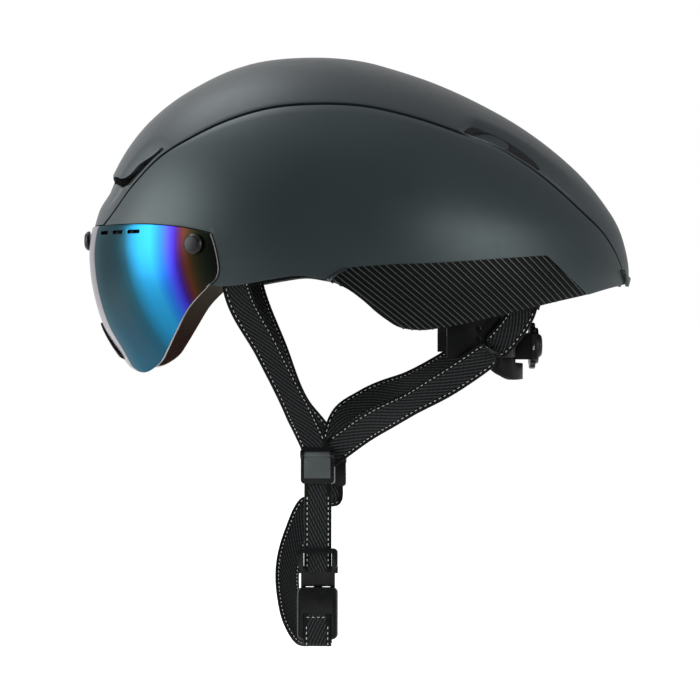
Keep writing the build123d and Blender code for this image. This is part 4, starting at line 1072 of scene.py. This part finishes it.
FRONT_TURN = [(0.90, 0.30, 0.25), (0.90, 0.30, 0.25), (0.80, 0.50, 0.30), (0.85, 0.42, 0.30)]
REAR_TURN = [(0.93, 0.37, 0), (0.95, 0.05, 0.3), (0.8, 0, 0.6), (0.5, 0, 0.8), (0.5, 0.10, 0.8)]
FRONT_END = [(-5, 26, 3.2), (-2, 19, 1.8), (-0.5, 10, 0.9)]
NEAR_REAR_END = [(26, 28, 7.0), (14, 20, 1.2), (3, 12, -0.9)]
FAR_REAR_END = [(20, 48.5, 7.4), (7.5, 39.5, 3.2), (3, 28, 0.8), (2, 18, -0.9), (2, 12, -0.9)]
FRONT_END_TURN = [(0.95, 0.3, 0), (1, 0.25, 0), (1, 0, 0)]
NEAR_REAR_END_TURN = [(-0.5, 0.85, 0), (-0.6, 0.8, 0), (-0.8, 0.6, 0)]
FAR_REAR_END_TURN = [(-0.64, 0.77, 0), (-0.8, 0.6, 0), (-0.9, 0.4, 0), (-0.97, 0.2, 0), (-1, 0.1, 0)]
SHELL_STRAPS = [
    ("left_front_strap", [(-44.5, -83.0, -15), (-43.5, -79.5, -27), (-27.5, -67, -61), (-12.5, -55.5, -92)],
     FRONT_TURN, FRONT_END, FRONT_END_TURN, -1),
    ("right_front_strap", [(-44.5, 83.0, -15), (-42, 79.5, -27), (-27, 69, -64), (-13, 57, -98)],
     FRONT_TURN, FRONT_END, FRONT_END_TURN, 1),
    ("left_rear_strap", [(113, -61.8, -31), (109, -65.0, -42), (97, -66.2, -58), (77, -66.2, -73.5),
                         (50, -62, -90)], REAR_TURN, NEAR_REAR_END, NEAR_REAR_END_TURN, -1),
    ("right_rear_strap", [(113, 61.8, -31), (109, 65.4, -42), (97, 67.2, -58), (78, 67.4, -71),
                          (52, 63.6, -84)], REAR_TURN, FAR_REAR_END, FAR_REAR_END_TURN, 1),
]


def strap_route(route, turn, end, end_turn, side):
    """The strap's points and width directions, ending in its divider."""
    frame_of, axes = (near, NEAR_AXES) if side < 0 else (far, FAR_AXES)
    points = [np.array(p, float) for p in route]
    wides = [np.array((x, -side * y, z), float) for x, y, z in turn]
    for (u, v, n), (a, b, c) in zip(end, end_turn):
        points.append(frame_of(-side * u, v, n))
        wides.append(sum(axis * value for axis, value in zip(axes, (-side * a, b, c))))
    return np.array(points), np.array(wides)


print(len(SHELL_STRAPS), "routes from the shell to the dividers")

# %% [markdown]
# The mesh is one section swept along the route, with rounded edges, as a woven selvedge has, and with
# the weave's map on it. The map is measured in metres, so the threads keep their size on every strap.

# %% Sections of a strap
WEB_WIDTH, WEB_WALL = 15.0, 1.4


def strap_frames(points, wides, step_mm=1.5):
    """Fine points along a strap with their along, wide and thick directions."""
    knots = np.concatenate([[0], np.cumsum(np.linalg.norm(np.diff(points, axis=0), axis=1))])
    wides = wides / np.linalg.norm(wides, axis=1)[:, None]
    at = np.linspace(0, knots[-1], max(6, int(knots[-1] / step_mm)))
    middle = smooth_read(knots, points, at)
    wide = smooth_read(knots, wides, at)
    along = np.gradient(middle, axis=0)
    along /= np.linalg.norm(along, axis=1)[:, None]
    wide -= along * (wide * along).sum(1)[:, None]
    wide /= np.linalg.norm(wide, axis=1)[:, None]
    run = np.concatenate([[0], np.cumsum(np.linalg.norm(np.diff(middle, axis=0), axis=1))])
    return middle, along, wide, np.cross(along, wide), run


def section():
    """Half-round edges and a flat face, as (across, through) shares of the half sizes."""
    edge = WEB_WALL / WEB_WIDTH
    upper = [(-1, 0), (-1 + 0.35 * edge, 0.75), (-1 + 1.1 * edge, 1), (-0.5, 1), (0, 1), (0.5, 1),
             (1 - 1.1 * edge, 1), (1 - 0.35 * edge, 0.75)]
    return upper + [(-a, -b) for a, b in upper]


# %% [markdown]
# A row of white stitches runs along each border on both faces: short bars of thread, sunk at their ends.
# They are mesh, because a real stitch stands up and catches the light, and a painted line doesn't.

# %% Strap mesh with its stitches
STITCH_PITCH, STITCH_LENGTH, STITCH_INSET, STITCH_HALF = 2.8, 1.6, 1.7, 0.22


def strap_mesh(name, points, wides, stitched=True, ends=(0.0, 0.0)):
    middle, along, wide, thick, run = strap_frames(points, wides)
    ring, half_w, half_t = section(), WEB_WIDTH / 2, WEB_WALL / 2
    count = len(ring)
    verts, faces, uvs = [], [], []
    for m, w, t in zip(middle, wide, thick):
        verts += [m + w * a * half_w + t * b * half_t for a, b in ring]
    for i in range(len(middle) - 1):
        for j in range(count):
            k = (j + 1) % count
            faces.append((i * count + j, i * count + k, (i + 1) * count + k, (i + 1) * count + j))
            a, b = ring[j][0] * half_w, ring[k][0] * half_w
            uvs += [(a, run[i]), (b, run[i]), (b, run[i + 1]), (a, run[i + 1])]
    last = (len(middle) - 1) * count
    for face in (tuple(range(count))[::-1], tuple(last + j for j in range(count))):
        faces.append(face)
        uvs += [(ring[j % count][0] * half_w, 0.0) for j in face]
    marks = [0] * len(faces)
    if stitched:
        for start in np.arange(ends[0] + 1.0, run[-1] - ends[1] - STITCH_LENGTH, STITCH_PITCH):
            for edge in (-1, 1):
                for face_side in (-1, 1):
                    stitch(verts, faces, marks, uvs, (middle, wide, thick, run), start,
                           edge * (half_w - STITCH_INSET), face_side * half_t)
    mesh = bpy.data.meshes.new(name)
    mesh.from_pydata([v * MM for v in verts], [], faces)
    layer = mesh.uv_layers.new(name="weave")
    layer.data.foreach_set("uv", (np.array(uvs) * MM).ravel())
    mesh.polygons.foreach_set("material_index", marks)
    made = put_in(name, mesh)
    face_outwards(made)
    return made


def stitch(verts, faces, marks, uvs, frames, start, across, through):
    """One stitch: a low rounded bar of thread on the strap's face, sunk at both ends."""
    middle, wide, thick, run = frames
    sign = 1 if through > 0 else -1
    base = len(verts)
    shape = [(0.0, -0.05), (0.2, 0.26), (0.8, 0.26), (1.0, -0.05)]
    for share, lift in shape:
        at = start + share * STITCH_LENGTH
        m, w, t = (np.array([np.interp(at, run, v[:, k]) for k in range(3)]) for v in (middle, wide, thick))
        for side_shift, drop in ((-STITCH_HALF, 0.22), (0.0, 0.0), (STITCH_HALF, 0.22)):
            verts.append(m + w * (across + side_shift) + t * (through + sign * (lift - drop)))
    for i in range(3):
        for j in range(2):
            a = base + i * 3 + j
            faces.append((a, a + 1, a + 4, a + 3))
            marks.append(1)
            uvs += [(0, 0)] * 4
        a = base + i * 3
        faces.append((a, a + 3, a + 5, a + 2))
        marks.append(1)
        uvs += [(0, 0)] * 4
    for face in ((base, base + 2, base + 1), (base + 9, base + 10, base + 11)):
        faces.append(face)
        marks.append(1)
        uvs += [(0, 0)] * 3


# %% [markdown]
# Four straps come down from the shell's anchors to the two dividers.

# %% Straps from the shell to the dividers
for name, route, turn, end, end_turn, side in SHELL_STRAPS:
    points, wides = strap_route(route, turn, end, end_turn, side)
    strap = strap_mesh(name + "_web", points, wides, ends=(8.0, 9.0))
    finish_piece(strap, "helmet", "webbing", webbing, white_thread, replaced=[name])
    print(name, len(strap.data.polygons), "faces")

# %% [markdown]
# ## The chin strap
# The near half is short and ends in the buckle's plug. The far half comes round under the chin, turns up
# through the socket's bar and is sewn to itself with a row of stitches. The turn is a half circle of
# points about the bar, so the strap keeps its thickness in the bend.

# %% Chin straps
SOCKET_FOOT, PATCH_HEAD, BEND = -86.2, -72.5, 3.1
near_points = np.array([near(0, v, 0) for v in (4.0, -6.0, -18.0, -34.0, -50.0)])
near_wides = np.array([NEAR_AXES[0]] * len(near_points))
strap = strap_mesh("left_chin_strap_web", near_points, near_wides, ends=(12.0, 3.0))
finish_piece(strap, "chin_loop", "webbing", webbing, white_thread, replaced=["left_chin_strap"])

chin = [far(0, 4.0, 0), far(0, -3.75, 0), far(0, -7.5, 0)]
chin += [np.array(p, float) for p in ((-6, 33, -155), (-14, 20, -170), (-18.5, 3, -187), (-17, -16, -203),
                                      (-12.5, -31, -214))]
chin += [near(-4, -89.0, -8.5), near(0, -89.4, -3.0)]
for step in range(7):
    angle = math.pi / 2 * (step / 6 - 1)
    chin.append(near(0, SOCKET_FOOT + BEND * math.sin(angle), BEND * math.cos(angle)))
chin += [near(0, -80.0, BEND), near(0, PATCH_HEAD, BEND)]
far_wide, near_wide = tuple(-FAR_AXES[0]), tuple(NEAR_AXES[0])
chin_wides = [far_wide] * 3 + [(1, 0.2, -0.25), (1, 0.3, -0.45), (1, 0.3, -0.45), (1, 0.25, -0.35),
                               (1, 0.1, -0.15), (1, 0.05, -0.05)] + [near_wide] * 10
strap = strap_mesh("right_chin_strap_web", np.array(chin), np.array(chin_wides), ends=(12.0, 6.0))
finish_piece(strap, "chin_loop", "webbing", webbing, white_thread, replaced=["right_chin_strap"])

ROW_LENGTH = 11.6
row = [near(u, PATCH_HEAD - STITCH_INSET, BEND) for u in (-ROW_LENGTH / 2, ROW_LENGTH / 2)]
row_frames = (np.array(row), np.array([NEAR_AXES[1]] * 2), np.array([NEAR_AXES[2]] * 2),
              np.array([0.0, ROW_LENGTH]))
verts, faces, marks, uvs = [], [], [], []
for start in np.arange(0.0, ROW_LENGTH - STITCH_LENGTH, STITCH_PITCH):
    stitch(verts, faces, marks, uvs, row_frames, start, 0.0, WEB_WALL / 2)
mesh = bpy.data.meshes.new("patch_stitches")
mesh.from_pydata([v * MM for v in verts], [], faces)
patch_row = put_in("patch_stitches", mesh)
finish_piece(patch_row, "chin_loop", "webbing", white_thread)
print("chin straps made")


# %% [markdown]
# ## Pads
# The comfort pads are foam in knitted fabric. A pad starts as its CAD solid, remeshed into small even
# faces, and Blender's cloth blows it up a little, so that its faces crown and its edges pull in. A
# bevel alone would leave the faces flat. How far a point may move is capped, to stay off the foam.

# %% Pads
def puffed(node, voxel_mm, limit_mm):
    made = put_in(node + "_cushion", frame["nodes"][node].data.copy())
    apply_modifier(made, "REMESH", mode="VOXEL", voxel_size=voxel_mm * MM)
    apply_modifier(made, "SMOOTH", factor=0.5, iterations=6)
    rest = np.array([v.co for v in made.data.vertices])
    cloth = made.modifiers.new("Cloth", "CLOTH")
    cloth.settings.use_pressure = True
    cloth.settings.uniform_pressure_force = 4
    cloth.settings.effector_weights.gravity = 0
    cloth.point_cache.frame_end = 14
    for step in range(1, 15):
        bpy.context.scene.frame_set(step)
    graph = bpy.context.evaluated_depsgraph_get()
    blown = np.array([v.co for v in made.evaluated_get(graph).data.vertices])
    bpy.context.scene.frame_set(1)
    made.modifiers.remove(cloth)
    moved = blown - rest
    length = np.linalg.norm(moved, axis=1)[:, None]
    moved *= np.minimum(1, limit_mm * MM / np.maximum(length, 1e-9))
    made.data.vertices.foreach_set("co", (rest + moved).ravel())
    made.data.update()
    return finish_piece(made, BODY_OF[node], "pad", pad_knit, replaced=[node], smooth=60)


for node, voxel in (("brow_pad", 1.2), ("crown_pads", 1.4), ("side_pads", 1.3), ("nape_pad", 0.9)):
    pad = puffed(node, voxel, 0.6)
    print(node, len(pad.data.polygons), "faces")

# %% [markdown]
# ## Floor, light and camera
# The photograph has a white ground and large soft lights: one low at the front, one low at the tail,
# and one over the crown that draws its long highlight. The floor is plain and pale, and white where
# the camera or a mirror sees it.

# %% Floor
FLOOR_Z = -0.262
deselect()
bpy.ops.mesh.primitive_plane_add(size=60, location=(0, 0, FLOOR_Z))
floor = bpy.context.object
floor.name = "floor"
ground, tree, place = new_finish("pale_floor")
rays = add(tree, "LightPath")
across = add(tree, "SeparateXYZ", {"Vector": place})["Y"]
room = add(tree, "MapRange", {"Value": across, "From Min": -0.6, "From Max": -0.1, "To Min": 0.1})["Result"]
mirrored = add(tree, "Math", {0: rays["Is Glossy Ray"], 1: room}, operation="MULTIPLY")[0]
seen = add(tree, "Math", {0: rays["Is Camera Ray"], 1: mirrored}, operation="MAXIMUM")[0]
paper = add(tree, "BsdfDiffuse", {"Color": "F4F4F2"})[0]
glow = add(tree, "Emission", {"Color": "FFFFFF", "Strength": 0.76})[0]
lit = add(tree, "AddShader", {0: paper, 1: glow})[0]
mixed = add(tree, "MixShader", {0: seen, 1: paper, 2: lit})[0]
add(tree, "OutputMaterial", {"Surface": mixed})
floor.data.materials.append(ground)
print("floor at", FLOOR_Z, "m")

# %% [markdown]
# The world is white to the camera. In reflections it is darker behind the camera and behind the tail,
# as a studio is, which gives the dark paint its form. Its own light on the object is weak.

# %% World and lamps
world = bpy.data.worlds.new("studio")
bpy.context.scene.world = world
world.use_nodes = True
tree = world.node_tree
tree.nodes.clear()
rays = add(tree, "LightPath")
toward = add(tree, "SeparateXYZ", {"Vector": add(tree, "TexCoord")["Generated"]})
front = add(tree, "MapRange", {
    "Value": toward["Y"], "From Min": -0.85, "From Max": -0.40, "To Min": 0.22})["Result"]
tail = add(tree, "MapRange", {
    "Value": toward["X"], "From Min": -0.1, "From Max": 0.5, "To Min": 1.0, "To Max": 0.6})["Result"]
room = add(tree, "Math", {0: front, 1: tail}, operation="MULTIPLY")[0]
plain = add(tree, "Math", {0: rays["Is Camera Ray"], 1: rays["Is Transmission Ray"]}, operation="MAXIMUM")[0]
fill, mirrored, white = [add(tree, "Background", {"Color": "FFFFFF", "Strength": strength})[0]
                         for strength in (0.27, room, 1.0)]
lit = add(tree, "MixShader", {0: rays["Is Glossy Ray"], 1: fill, 2: mirrored})[0]
seen = add(tree, "MixShader", {0: plain, 1: lit, 2: white})[0]
add(tree, "OutputWorld", {"Surface": seen})


def soft_lamp(name, place, aim, size, power):
    lamp = bpy.data.lights.new(name, "AREA")
    lamp.shape, lamp.size, lamp.energy = "DISK", size, power
    holder = bpy.data.objects.new(name, lamp)
    bpy.context.scene.collection.objects.link(holder)
    holder.location = place
    holder.rotation_mode = "QUATERNION"
    holder.rotation_quaternion = (Vector(aim) - Vector(place)).to_track_quat("-Z", "Y")


soft_lamp("front_low", (-1.40, -0.40, 0.30), (-0.05, 0, 0), 1.3, 24)
soft_lamp("rear_low", (1.10, -1.0, 0.15), (0.08, 0, -0.02), 0.7, 9)
soft_lamp("over_crown", (-0.65, 0.36, 1.35), (0, 0, 0.05), 0.9, 8)
print(len(bpy.data.lights), "lamps")

# %% [markdown]
# The camera looks square at the wearer's left side, through a long lens, as the photograph does. Turning
# it down to the straps would tilt the helmet's outline, so its shift puts them in the frame instead.

# %% Camera
camera = bpy.data.objects.new("camera", bpy.data.cameras.new("camera"))
bpy.context.scene.collection.objects.link(camera)
camera.location = (0.0171, -1.2, -0.03135)
camera.rotation_euler = (math.pi / 2, 0, 0)
camera.data.sensor_width = 36
camera.data.lens = 108.3
camera.data.shift_y = -0.0786
camera.data.clip_end = 20
bpy.context.scene.camera = camera
bpy.context.scene.view_settings.view_transform = "Standard"
print("camera with a lens of", camera.data.lens, "mm")
